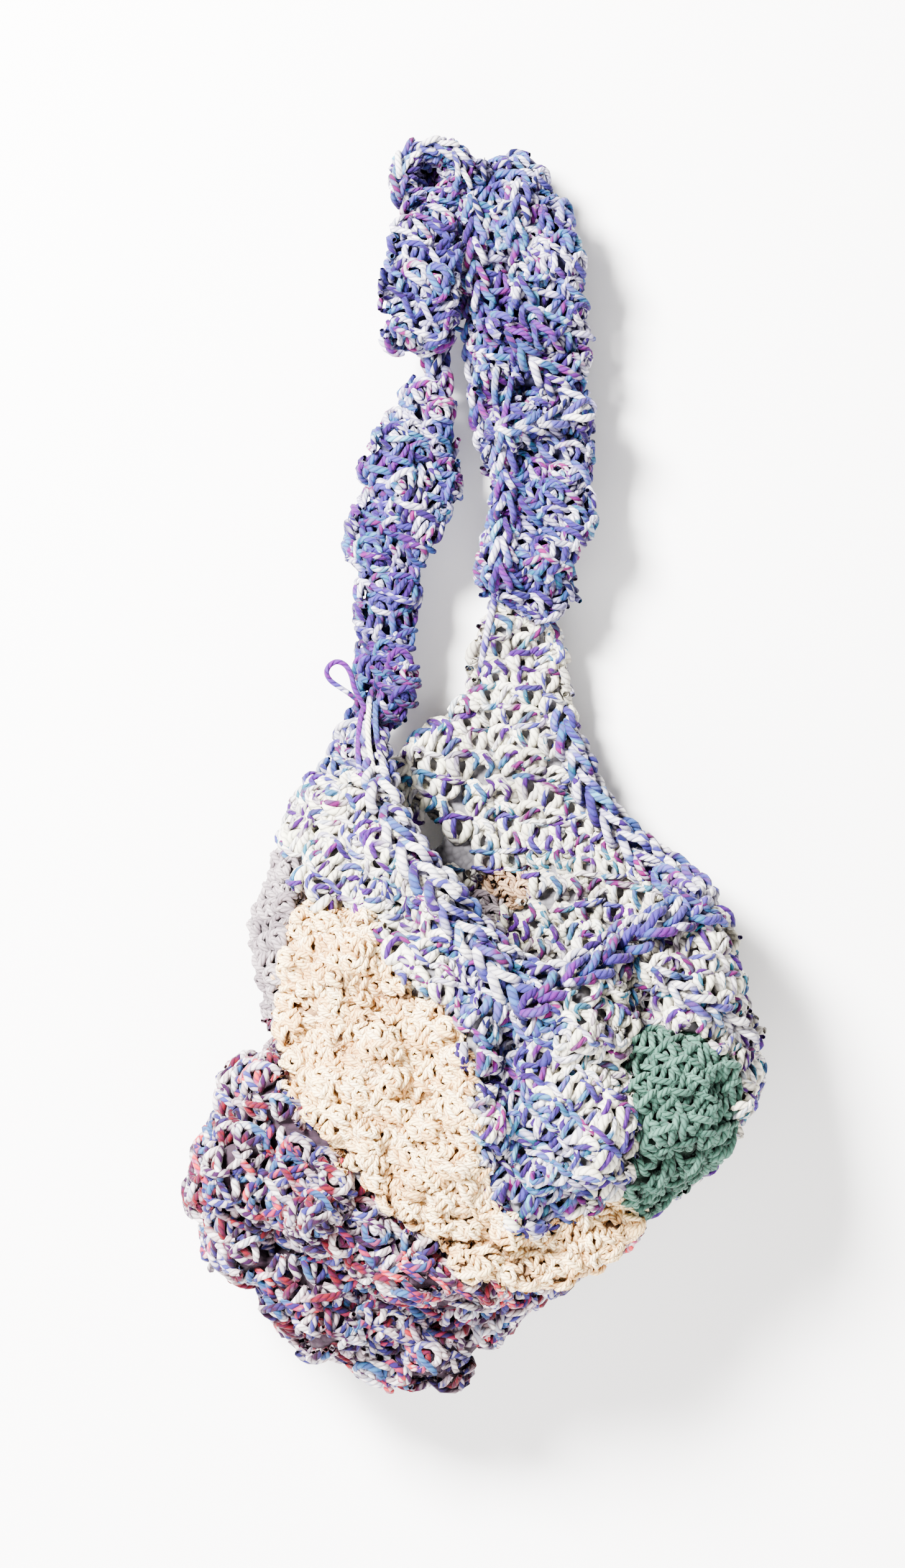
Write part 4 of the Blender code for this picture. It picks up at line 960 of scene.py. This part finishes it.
def chain_lines(route, count, winds, out, toward=Vector((0, -1, 0))):
    """Lines that run along a route at a distance from it, evenly round it."""
    lines = []
    last = len(route) - 1
    for number in range(count):
        where, outs = [], []
        for i, centre in enumerate(route):
            along = (route[min(i + 1, last)] - route[max(i - 1, 0)]).normalized()
            side = (toward - along * toward.dot(along)).normalized()
            turn = 2 * math.pi * (number / count + winds * i / last)
            way = Matrix.Rotation(turn, 3, along) @ side
            where.append(np.array(centre + way * out))
            outs.append(np.array(way))
        lines.append((np.array(where), np.array(outs), False, number))
    return lines


def work_chain(look):
    """Works a cord of chained stitches along a long solid."""
    number = [row["piece"] for row in rows(CHAINS)].index(look["piece"]) + 1
    route = [Vector(p) for p in folded([tuple(p) for p in middle_line(look["piece"], 0.010)])]
    lines = chain_lines(route, look["lines"], look["winds"], look["out"])
    look = dict(look, tall=look["wide"])
    curve = [Vector(p) for p in route[::2]]
    core = tube_mesh(look["piece"] + "_core", [(curve, look["out"] * 0.9, 8, 0, 0.0)])
    core.materials.append(ground_material(look["yarn"]))
    below = new_object(look["piece"] + "_below", core)
    mesh = bake_stitches(look["piece"], lines, below, look, "chain", 400 + number, 0.0, 0.08)
    keep_piece(look["piece"], mesh, look["piece"])
    bpy.data.objects.remove(below)


def cloth_surface():
    """All finished pieces as one tree for finding where the cloth lies."""
    verts, faces = [], []
    for piece in bpy.context.scene.collection.objects:
        if piece.type == "MESH" and piece.name not in frame["nodes"] and len(piece.data.vertices) > 2000:
            where, _, tris = mesh_arrays(piece.data)
            faces += (tris + len(verts)).tolist()
            verts += where.tolist()
    return BVHTree.FromPolygons(verts, faces)


def picture_route(points, surface, steps, off):
    """A curve through points given in picture pixels and depth, laid on a surface if there is one."""
    route = through([(*picture_place(x, z), y) for x, z, y in points], steps)
    laid = []
    for x, z, y in route:
        if surface:
            hits = [
                surface.ray_cast(Vector((x + dx, -1.0, z + dz)), Vector((0, 1, 0)))[0]
                for dx, dz in ((0, 0), (0.003, 0), (-0.003, 0), (0, 0.003), (0, -0.003))
            ]
            found = sorted(hit.y for hit in hits if hit is not None and hit.y < 0.03)
            y = (found[len(found) // 2] if found else 0.0) - off - y
        laid.append(Vector((x, y, z)))
    for _ in range(3):
        laid[1:-1] = [(a + 2 * b + c) / 4 for a, b, c in zip(laid, laid[1:], laid[2:])]
    return laid


def work_edge(look, surface):
    """Works one chain along points on the fabric."""
    route = picture_route(look["points"], surface, 40, look["radius"] * 0.6)
    lines = chain_lines(route, 1, 0.0, 0.0)
    look = dict(look, tall=look["wide"])
    mesh = bake_stitches(look["piece"], lines, None, look, "chain", len(look["points"]) * 31, 0.0, 0.08)
    keep_piece(look["piece"], mesh, None)


def lay_strand(look, number, surface):
    """Lays one bare strand of yarn."""
    route = picture_route(
        look["points"], surface if look["lies"] else None, 8 * len(look["points"]), look["radius"] * 0.5
    )
    mesh = tube_mesh(look["piece"], [(route, look["radius"], 10, 0, number * 0.37 % 1.0)])
    mesh.attributes.new("dye", "FLOAT", "POINT").data.foreach_set("value", [number * 0.29] * len(mesh.vertices))
    mesh.materials.append(yarn_material(look["yarn"]))
    keep_piece(look["piece"], mesh, None)


# Materials


def shader_group(name, inputs, outputs):
    """An empty shader group with its sockets and its two end nodes."""
    group = bpy.data.node_groups.new(name, "ShaderNodeTree")
    for label, kind, default in inputs:
        made = group.interface.new_socket(name=label, in_out="INPUT", socket_type=kind)
        if default is not None:
            made.default_value = default
    for label, kind in outputs:
        group.interface.new_socket(name=label, in_out="OUTPUT", socket_type=kind)
    return group, group.nodes.new("NodeGroupInput"), group.nodes.new("NodeGroupOutput")


def linker(tree):
    """Functions that add a maths node and join sockets in a tree."""

    def maths(operation, *values):
        made = tree.nodes.new("ShaderNodeMath")
        made.operation = operation
        for index, value in enumerate(values):
            if isinstance(value, (int, float)):
                made.inputs[index].default_value = value
            else:
                tree.links.new(value, made.inputs[index])
        return made.outputs[0]

    return maths


def ply_group():
    """The twist of the plies along a strand: which ply is on top, and how high it stands."""
    name = "Ply Twist"
    if name in bpy.data.node_groups:
        return bpy.data.node_groups[name]
    group, given, out = shader_group(
        name,
        (("Map", "NodeSocketVector", None), ("Plies", "NodeSocketFloat", 3.0), ("Lay", "NodeSocketFloat", 7.0)),
        (("Ply", "NodeSocketFloat"), ("Height", "NodeSocketFloat")),
    )
    maths = linker(group)
    split = group.nodes.new("ShaderNodeSeparateXYZ")
    group.links.new(given.outputs["Map"], split.inputs[0])
    run = maths("DIVIDE", split.outputs[0], given.outputs["Lay"])
    turn = maths("ADD", split.outputs[1], run)
    phase = maths("MULTIPLY", turn, given.outputs["Plies"])
    ridge = maths("ABSOLUTE", maths("SINE", maths("MULTIPLY", phase, math.pi)))
    which = maths("GREATER_THAN", maths("FRACT", maths("MULTIPLY", phase, 0.5)), 0.5)
    group.links.new(maths("POWER", ridge, 0.6), out.inputs["Height"])
    group.links.new(which, out.inputs["Ply"])
    return group


def dye_group():
    """Where along its dyed length the yarn is, for each of its two plies."""
    name = "Space Dye"
    if name in bpy.data.node_groups:
        return bpy.data.node_groups[name]
    group, given, out = shader_group(
        name,
        (
            ("Dye", "NodeSocketFloat", 0.0), ("Strand", "NodeSocketFloat", 0.0),
            ("Place", "NodeSocketVector", None), ("Map", "NodeSocketVector", None),
        ),
        (("First Ply", "NodeSocketFloat"), ("Second Ply", "NodeSocketFloat")),
    )
    maths = linker(group)
    cloud = group.nodes.new("ShaderNodeTexNoise")
    cloud.inputs["Scale"].default_value = 22.0
    cloud.inputs["Detail"].default_value = 1.0
    group.links.new(given.outputs["Place"], cloud.inputs["Vector"])
    split = group.nodes.new("ShaderNodeSeparateXYZ")
    group.links.new(given.outputs["Map"], split.inputs[0])
    run = maths("MULTIPLY", split.outputs[0], 0.006)
    base = maths("ADD", given.outputs["Dye"], maths("MULTIPLY", given.outputs["Strand"], 1.7))
    base = maths("ADD", base, run)
    base = maths("ADD", base, maths("MULTIPLY", cloud.outputs[0], 0.8))
    group.links.new(maths("FRACT", base), out.inputs["First Ply"])
    group.links.new(maths("FRACT", maths("ADD", base, 0.08)), out.inputs["Second Ply"])
    return group


def fuzz_group():
    """Fine fibre grain: a height and a mask."""
    name = "Fibre Grain"
    if name in bpy.data.node_groups:
        return bpy.data.node_groups[name]
    group, given, out = shader_group(
        name,
        (("Place", "NodeSocketVector", None), ("Fineness", "NodeSocketFloat", 900.0)),
        (("Height", "NodeSocketFloat"), ("Mask", "NodeSocketFloat")),
    )
    maths = linker(group)
    grain = group.nodes.new("ShaderNodeTexNoise")
    grain.inputs["Detail"].default_value = 3.0
    grain.inputs["Roughness"].default_value = 0.7
    group.links.new(given.outputs["Place"], grain.inputs["Vector"])
    group.links.new(given.outputs["Fineness"], grain.inputs["Scale"])
    group.links.new(grain.outputs[0], out.inputs["Height"])
    group.links.new(maths("SUBTRACT", grain.outputs[0], 0.5), out.inputs["Mask"])
    return group


def palette_group(yarn):
    """The colours of a yarn along its dyed length."""
    name = "Palette " + yarn
    if name in bpy.data.node_groups:
        return bpy.data.node_groups[name]
    group, given, out = shader_group(name, (("Factor", "NodeSocketFloat", 0.0),), (("Colour", "NodeSocketColor"),))
    ramp = group.nodes.new("ShaderNodeValToRGB")
    stops = PALETTES[yarn]
    elements = ramp.color_ramp.elements
    elements[0].position = 0.0
    elements[0].color = (*stops[0][1], 1.0)
    elements.remove(elements[1])
    for index, (start, colour) in enumerate(stops):
        after = stops[index + 1][0] if index + 1 < len(stops) else 1.0
        soft = (after - start) * 0.16
        if index:
            elements.new(start + soft).color = (*colour, 1.0)
        elements.new(min(0.999, after - soft)).color = (*colour, 1.0)
    group.links.new(given.outputs[0], ramp.inputs[0])
    group.links.new(ramp.outputs[0], out.inputs[0])
    return group


PLIES = {"ivory": (3.0, 13.0), "cotton": (3.0, 8.0), "sage": (3.0, 10.0)}
THREADED = ("ivory",)


def yarn_material(yarn):
    """Plied, space-dyed wool or cotton on stitch strands."""
    name = yarn + "_plied"
    if name in bpy.data.materials:
        return bpy.data.materials[name]
    material = bpy.data.materials.new(name)
    material.use_nodes = True
    tree = material.node_tree
    nodes, links = tree.nodes, tree.links
    shader = nodes["Principled BSDF"]
    maths = linker(tree)

    def add_group(group, **values):
        made = nodes.new("ShaderNodeGroup")
        made.node_tree = group
        for label, value in values.items():
            target = made.inputs[label.replace("_", " ")]
            if isinstance(value, (int, float)):
                target.default_value = value
            else:
                links.new(value, target)
        return made

    def read(label):
        made = nodes.new("ShaderNodeAttribute")
        made.attribute_name = label
        return made.outputs["Fac"]

    def mix(factor, one, two, blend="MIX"):
        made = nodes.new("ShaderNodeMix")
        made.data_type = "RGBA"
        made.blend_type = blend
        for index, value in ((0, factor), (6, one), (7, two)):
            if isinstance(value, (int, float)):
                made.inputs[index].default_value = value
            elif isinstance(value, tuple):
                made.inputs[index].default_value = (*value, 1.0)
            else:
                links.new(value, made.inputs[index])
        return made.outputs[2]

    map_node = nodes.new("ShaderNodeUVMap")
    map_node.uv_map = "UVMap"
    place = nodes.new("ShaderNodeTexCoord").outputs["Object"]
    plies, lay = PLIES.get(yarn, (3.0, 11.0))
    ply = add_group(ply_group(), Map=map_node.outputs[0], Plies=plies, Lay=lay)
    dye = add_group(dye_group(), Dye=read("dye"), Strand=read("strand"), Place=place, Map=map_node.outputs[0])

    def dyed(palette):
        one = add_group(palette_group(palette), Factor=dye.outputs[0]).outputs[0]
        two = add_group(palette_group(palette), Factor=dye.outputs[1]).outputs[0]
        return mix(maths("MULTIPLY", ply.outputs["Ply"], 0.50), one, two)

    colour = dyed(yarn)
    if yarn in THREADED:
        thread = dyed("thread")
        runs = maths("GREATER_THAN", read("zone"), maths("ADD", maths("MULTIPLY", read("strand"), 0.8), 0.12))
        violet = dyed("violet")
        colour = mix(runs, colour, violet)
        colour = mix(read("kind"), colour, mix(runs, thread, dyed("violet")))
    if yarn == "violet":
        runs = maths("GREATER_THAN", read("zone"), maths("ADD", maths("MULTIPLY", read("strand"), 0.7), 0.1))
        colour = mix(runs, colour, dyed("deep"))
    grain = add_group(fuzz_group(), Place=place, Fineness=900.0)
    # Painted shade in the dips between the plies: the colour is multiplied towards its shade tint where the plies stand
    # low
    groove = maths("SUBTRACT", 1.0, ply.outputs["Height"])
    colour = mix(maths("MULTIPLY", groove, 0.78), colour, SHADE_TINTS.get(yarn, (0.10, 0.08, 0.12)), "MULTIPLY")
    # Painted shade where a strand sinks into the cloth and in the hollows between bobbles: the colour is multiplied
    # towards its shade tint
    sunk = nodes.new("ShaderNodeMapRange")
    sunk.inputs["From Min"].default_value = 1.9
    sunk.inputs["From Max"].default_value = -0.3
    sunk.inputs["To Max"].default_value = 0.74
    links.new(read("depth"), sunk.inputs["Value"])
    shade = maths("MAXIMUM", sunk.outputs[0], maths("MULTIPLY", read("hollow"), 0.62))
    colour = mix(shade, colour, SHADE_TINTS.get(yarn, (0.10, 0.08, 0.12)), "MULTIPLY")
    links.new(colour, shader.inputs["Base Color"])
    shader.inputs["Roughness"].default_value = 0.88
    shader.inputs["Sheen Weight"].default_value = 0.10
    shader.inputs["Sheen Roughness"].default_value = 0.4
    shader.inputs["Specular IOR Level"].default_value = 0.12
    height = maths("ADD", ply.outputs["Height"], maths("MULTIPLY", grain.outputs["Height"], 0.55))
    bump = nodes.new("ShaderNodeBump")
    bump.inputs["Strength"].default_value = 0.85
    bump.inputs["Distance"].default_value = 0.0008
    links.new(height, bump.inputs["Height"])
    links.new(bump.outputs[0], shader.inputs["Normal"])
    return material


# Painted shade: what the yarn's colour is multiplied by where it is shaded by its neighbours, in the dips between
# plies, where a strand sinks into the cloth and in the hollows between bobbles
SHADE_TINTS = {
    "violet": (0.17, 0.13, 0.42),
    "deep": (0.17, 0.13, 0.42),
    "edging": (0.20, 0.18, 0.34),
    "plum_coral": (0.24, 0.10, 0.17),
    "ivory": (0.36, 0.34, 0.38),
    "cotton": (0.50, 0.31, 0.17),
    "lavender_grey": (0.30, 0.28, 0.30),
    "tan": (0.30, 0.24, 0.20),
    "sage": (0.08, 0.14, 0.11),
}

# Colours of the ground under the stitches: the yarn's own colour, darkened as painted shade for the yarn deep between
# the stitches
GROUNDS = {
    "violet": (0.010, 0.008, 0.046),
    "deep": (0.010, 0.008, 0.046),
    "edging": (0.020, 0.020, 0.050),
    "ivory": (0.20, 0.19, 0.21),
    "plum_coral": (0.020, 0.004, 0.016),
    "cotton": (0.30, 0.16, 0.070),
    "lavender_grey": (0.11, 0.10, 0.11),
    "tan": (0.14, 0.08, 0.045),
    "sage": (0.010, 0.032, 0.020),
}


def ground_material(yarn):
    """The yarn deep between the stitches, its colour darkened as painted shade, and darker still as painted shade at
    the edges of its cells, where the bump sets it low.
    """
    name = yarn + "_ground"
    if name in bpy.data.materials:
        return bpy.data.materials[name]
    material = bpy.data.materials.new(name)
    material.use_nodes = True
    nodes, links = material.node_tree.nodes, material.node_tree.links
    shader = nodes["Principled BSDF"]
    cells = nodes.new("ShaderNodeTexVoronoi")
    cells.inputs["Scale"].default_value = 260.0
    links.new(nodes.new("ShaderNodeTexCoord").outputs["Object"], cells.inputs["Vector"])
    # Painted shade: darker towards the cells' edges, which are the dips of the bump
    mix = nodes.new("ShaderNodeMix")
    mix.data_type = "RGBA"
    mix.inputs[6].default_value = (*GROUNDS[yarn], 1.0)
    mix.inputs[7].default_value = (*(c * 0.35 for c in GROUNDS[yarn]), 1.0)
    links.new(cells.outputs["Distance"], mix.inputs[0])
    links.new(mix.outputs[2], shader.inputs["Base Color"])
    shader.inputs["Roughness"].default_value = 0.95
    bump = nodes.new("ShaderNodeBump")
    bump.inputs["Strength"].default_value = 0.8
    bump.inputs["Distance"].default_value = 0.0010
    bump.invert = True
    links.new(cells.outputs["Distance"], bump.inputs["Height"])
    links.new(bump.outputs[0], shader.inputs["Normal"])
    return material


def set_stage():
    """A white wall, a pale floor, soft studio light from the upper left, and the camera."""
    scene = bpy.context.scene
    material = bpy.data.materials.new("stage_white")
    material.use_nodes = True
    nodes, links = material.node_tree.nodes, material.node_tree.links
    shader = nodes["Principled BSDF"]
    shader.inputs["Base Color"].default_value = (0.90, 0.893, 0.892, 1.0)
    shader.inputs["Roughness"].default_value = 0.9
    clear = nodes.new("ShaderNodeBsdfTransparent")
    side = nodes.new("ShaderNodeMixShader")
    links.new(nodes.new("ShaderNodeNewGeometry").outputs["Backfacing"], side.inputs[0])
    links.new(shader.outputs[0], side.inputs[1])
    links.new(clear.outputs[0], side.inputs[2])
    links.new(side.outputs[0], nodes["Material Output"].inputs["Surface"])
    wall = bpy.data.meshes.new("wall")
    wall.from_pydata([(-3, 0.028, -3), (3, 0.028, -3), (3, 0.028, 3), (-3, 0.028, 3)], [], [(0, 1, 2, 3)])
    floor = bpy.data.meshes.new("floor")
    floor.from_pydata([(-1.5, -2.0, -1.3), (1.5, -2.0, -1.3), (1.5, 0.028, -1.3), (-1.5, 0.028, -1.3)], [], [(0, 1, 2, 3)])
    for mesh in (wall, floor):
        mesh.materials.append(material)
        new_object(mesh.name, mesh)

    steel = bpy.data.materials.new("pin_steel")
    steel.use_nodes = True
    steel.node_tree.nodes["Principled BSDF"].inputs["Base Color"].default_value = (0.10, 0.10, 0.11, 1.0)
    run = [Vector((*picture_place(780, 244), -0.010)).xzy, Vector((*picture_place(783, 290), -0.004)).xzy]
    pin = tube_mesh("pin", [(run, 0.0005, 8, 0, 0.0)])
    pin.materials.append(steel)
    new_object("pin", pin)

    world = bpy.data.worlds.new("studio")
    world.use_nodes = True
    world.node_tree.nodes["Background"].inputs[0].default_value = (0.93, 0.95, 1.0, 1.0)
    world.node_tree.nodes["Background"].inputs[1].default_value = 0.11
    scene.world = world

    def soft_light(name, place, aim, size, power, colour):
        light = bpy.data.lights.new(name, "AREA")
        light.size = size
        light.energy = power
        light.color = colour
        obj = new_object(name, light)
        obj.location = place
        obj.rotation_euler = (Vector(aim) - Vector(place)).to_track_quat("-Z", "Y").to_euler()

    soft_light("key", (-1.30, -1.75, 0.85), (0, 0, -0.4), 0.75, 860.0, (1.0, 0.985, 0.97))
    soft_light("fill", (1.4, -1.8, 0.0), (0, 0, -0.4), 1.6, 2.0, (0.95, 0.97, 1.0))

    data = bpy.data.cameras.new("camera")
    camera = new_object("camera", data)
    centre_x, centre_z = PICTURE_CENTRE
    camera.location = (centre_x, OBJECT_PLANE - CAMERA_AWAY, centre_z)
    camera.rotation_euler = (math.pi / 2, 0.0, 0.0)
    data.sensor_width = 36.0
    data.lens = 36.0 * CAMERA_AWAY / (PICTURE_TALL * METRES_PER_PIXEL)
    data.clip_end = 50.0
    scene.camera = camera


# The add-on


class CrochetBagSettings(bpy.types.PropertyGroup):
    """What can be changed before the bag is worked."""

    seed: bpy.props.IntProperty(name="Seed", description="Which way the stitches happen to lie", default=3, min=0)
    looseness: bpy.props.FloatProperty(
        name="Looseness", description="How unevenly the stitches lie", default=1.0, min=0.0, max=2.0
    )
    dyed_length: bpy.props.FloatProperty(
        name="Dyed Length", description="Length of yarn over which its colours repeat",
        default=0.085, min=0.01, unit="LENGTH",
    )
    ground_size: bpy.props.FloatProperty(
        name="Ground Size", description="Mesh size of the ground under the stitches",
        default=0.004, min=0.001, unit="LENGTH",
    )


class PieceOperator:
    """Works the pieces that a subclass names."""

    bl_options = {"REGISTER", "UNDO"}
    pieces = ()

    def execute(self, context):
        for look in rows(FABRICS):
            if look["piece"] in self.pieces:
                work_fabric(look)
        for look in rows(CHAINS):
            if look["piece"] in self.pieces:
                work_chain(look)
        return {"FINISHED"}


class CROCHET_OT_base_pouch(PieceOperator, bpy.types.Operator):
    """Works the plum, white and coral bottom pouch"""

    bl_idname = "crochet.base_pouch"
    bl_label = "Base Pouch"
    pieces = ("base_pouch",)


class CROCHET_OT_cotton_patch(PieceOperator, bpy.types.Operator):
    """Works the cream cotton patch and its rolled hem"""

    bl_idname = "crochet.cotton_patch"
    bl_label = "Cotton Patch"
    pieces = ("natural_patch", "natural_cuff")


class CROCHET_OT_small_patches(PieceOperator, bpy.types.Operator):
    """Works the lavender grey patch and the two patches let into the back"""

    bl_idname = "crochet.small_patches"
    bl_label = "Small Patches"
    pieces = ("grey_patch", "grey_inset", "tan_inset")


class CROCHET_OT_sage_patch(PieceOperator, bpy.types.Operator):
    """Works the sage green patch"""

    bl_idname = "crochet.sage_patch"
    bl_label = "Sage Patch"
    pieces = ("sage_patch",)


class CROCHET_OT_front_panels(PieceOperator, bpy.types.Operator):
    """Works the ivory front band and the side panel"""

    bl_idname = "crochet.front_panels"
    bl_label = "Front Panels"
    pieces = ("front_band", "side_panel")


class CROCHET_OT_back_panel(PieceOperator, bpy.types.Operator):
    """Works the ivory back panel with its tall apex"""

    bl_idname = "crochet.back_panel"
    bl_label = "Back Panel"
    pieces = ("back_panel",)


class CROCHET_OT_edging(PieceOperator, bpy.types.Operator):
    """Works the chain edging of the mouth and the gather of the neck"""

    bl_idname = "crochet.edging"
    bl_label = "Edging And Neck"
    pieces = ("rim_edging", "neck_gather")


class CROCHET_OT_strap(PieceOperator, bpy.types.Operator):
    """Works the long band with its cup, fold and twist"""

    bl_idname = "crochet.strap"
    bl_label = "Strap"
    pieces = (
        "right_strap_upper", "right_strap_lower", "left_strap", "strap_fold", "strap_cup",
        "strap_saddle", "strap_edge_roll", "twisted_stretch",
    )


class CROCHET_OT_loose_yarn(bpy.types.Operator):
    """Works the chained edges on the strap and lays the bare strands and loops"""

    bl_idname = "crochet.loose_yarn"
    bl_label = "Edges And Loose Yarn"
    bl_options = {"REGISTER", "UNDO"}

    def execute(self, context):
        surface = cloth_surface()
        for look in rows(EDGES):
            work_edge(look, surface)
        for number, look in enumerate(rows(STRAND_RUNS)):
            lay_strand(look, number, surface)
        return {"FINISHED"}


class CROCHET_OT_stage(bpy.types.Operator):
    """Sets the wall, the floor, the lights and the camera"""

    bl_idname = "crochet.stage"
    bl_label = "Stage"
    bl_options = {"REGISTER", "UNDO"}

    def execute(self, context):
        set_stage()
        return {"FINISHED"}


OPERATORS = (
    CROCHET_OT_base_pouch,
    CROCHET_OT_cotton_patch,
    CROCHET_OT_small_patches,
    CROCHET_OT_sage_patch,
    CROCHET_OT_front_panels,
    CROCHET_OT_back_panel,
    CROCHET_OT_edging,
    CROCHET_OT_strap,
    CROCHET_OT_loose_yarn,
    CROCHET_OT_stage,
)


class CROCHET_PT_bag(bpy.types.Panel):
    """Lists the steps and settings of the crochet bag"""

    bl_idname = "CROCHET_PT_bag"
    bl_label = "Crochet Bag"
    bl_space_type = "VIEW_3D"
    bl_region_type = "UI"
    bl_category = "Crochet Bag"

    def draw(self, context):
        settings = context.scene.crochet_bag
        for name in ("seed", "looseness", "dyed_length", "ground_size"):
            self.layout.prop(settings, name)
        for operator in OPERATORS:
            self.layout.operator(operator.bl_idname)


CLASSES = (CrochetBagSettings, *OPERATORS, CROCHET_PT_bag)


def register():
    for item in CLASSES:
        bpy.utils.register_class(item)
    bpy.types.Scene.crochet_bag = bpy.props.PointerProperty(type=CrochetBagSettings)


def unregister():
    del bpy.types.Scene.crochet_bag
    for item in reversed(CLASSES):
        bpy.utils.unregister_class(item)


def main():
    register()
    for operator in OPERATORS:
        family, step = operator.bl_idname.split(".")
        getattr(getattr(bpy.ops, family), step)()


if __name__ == "__main__":
    main()
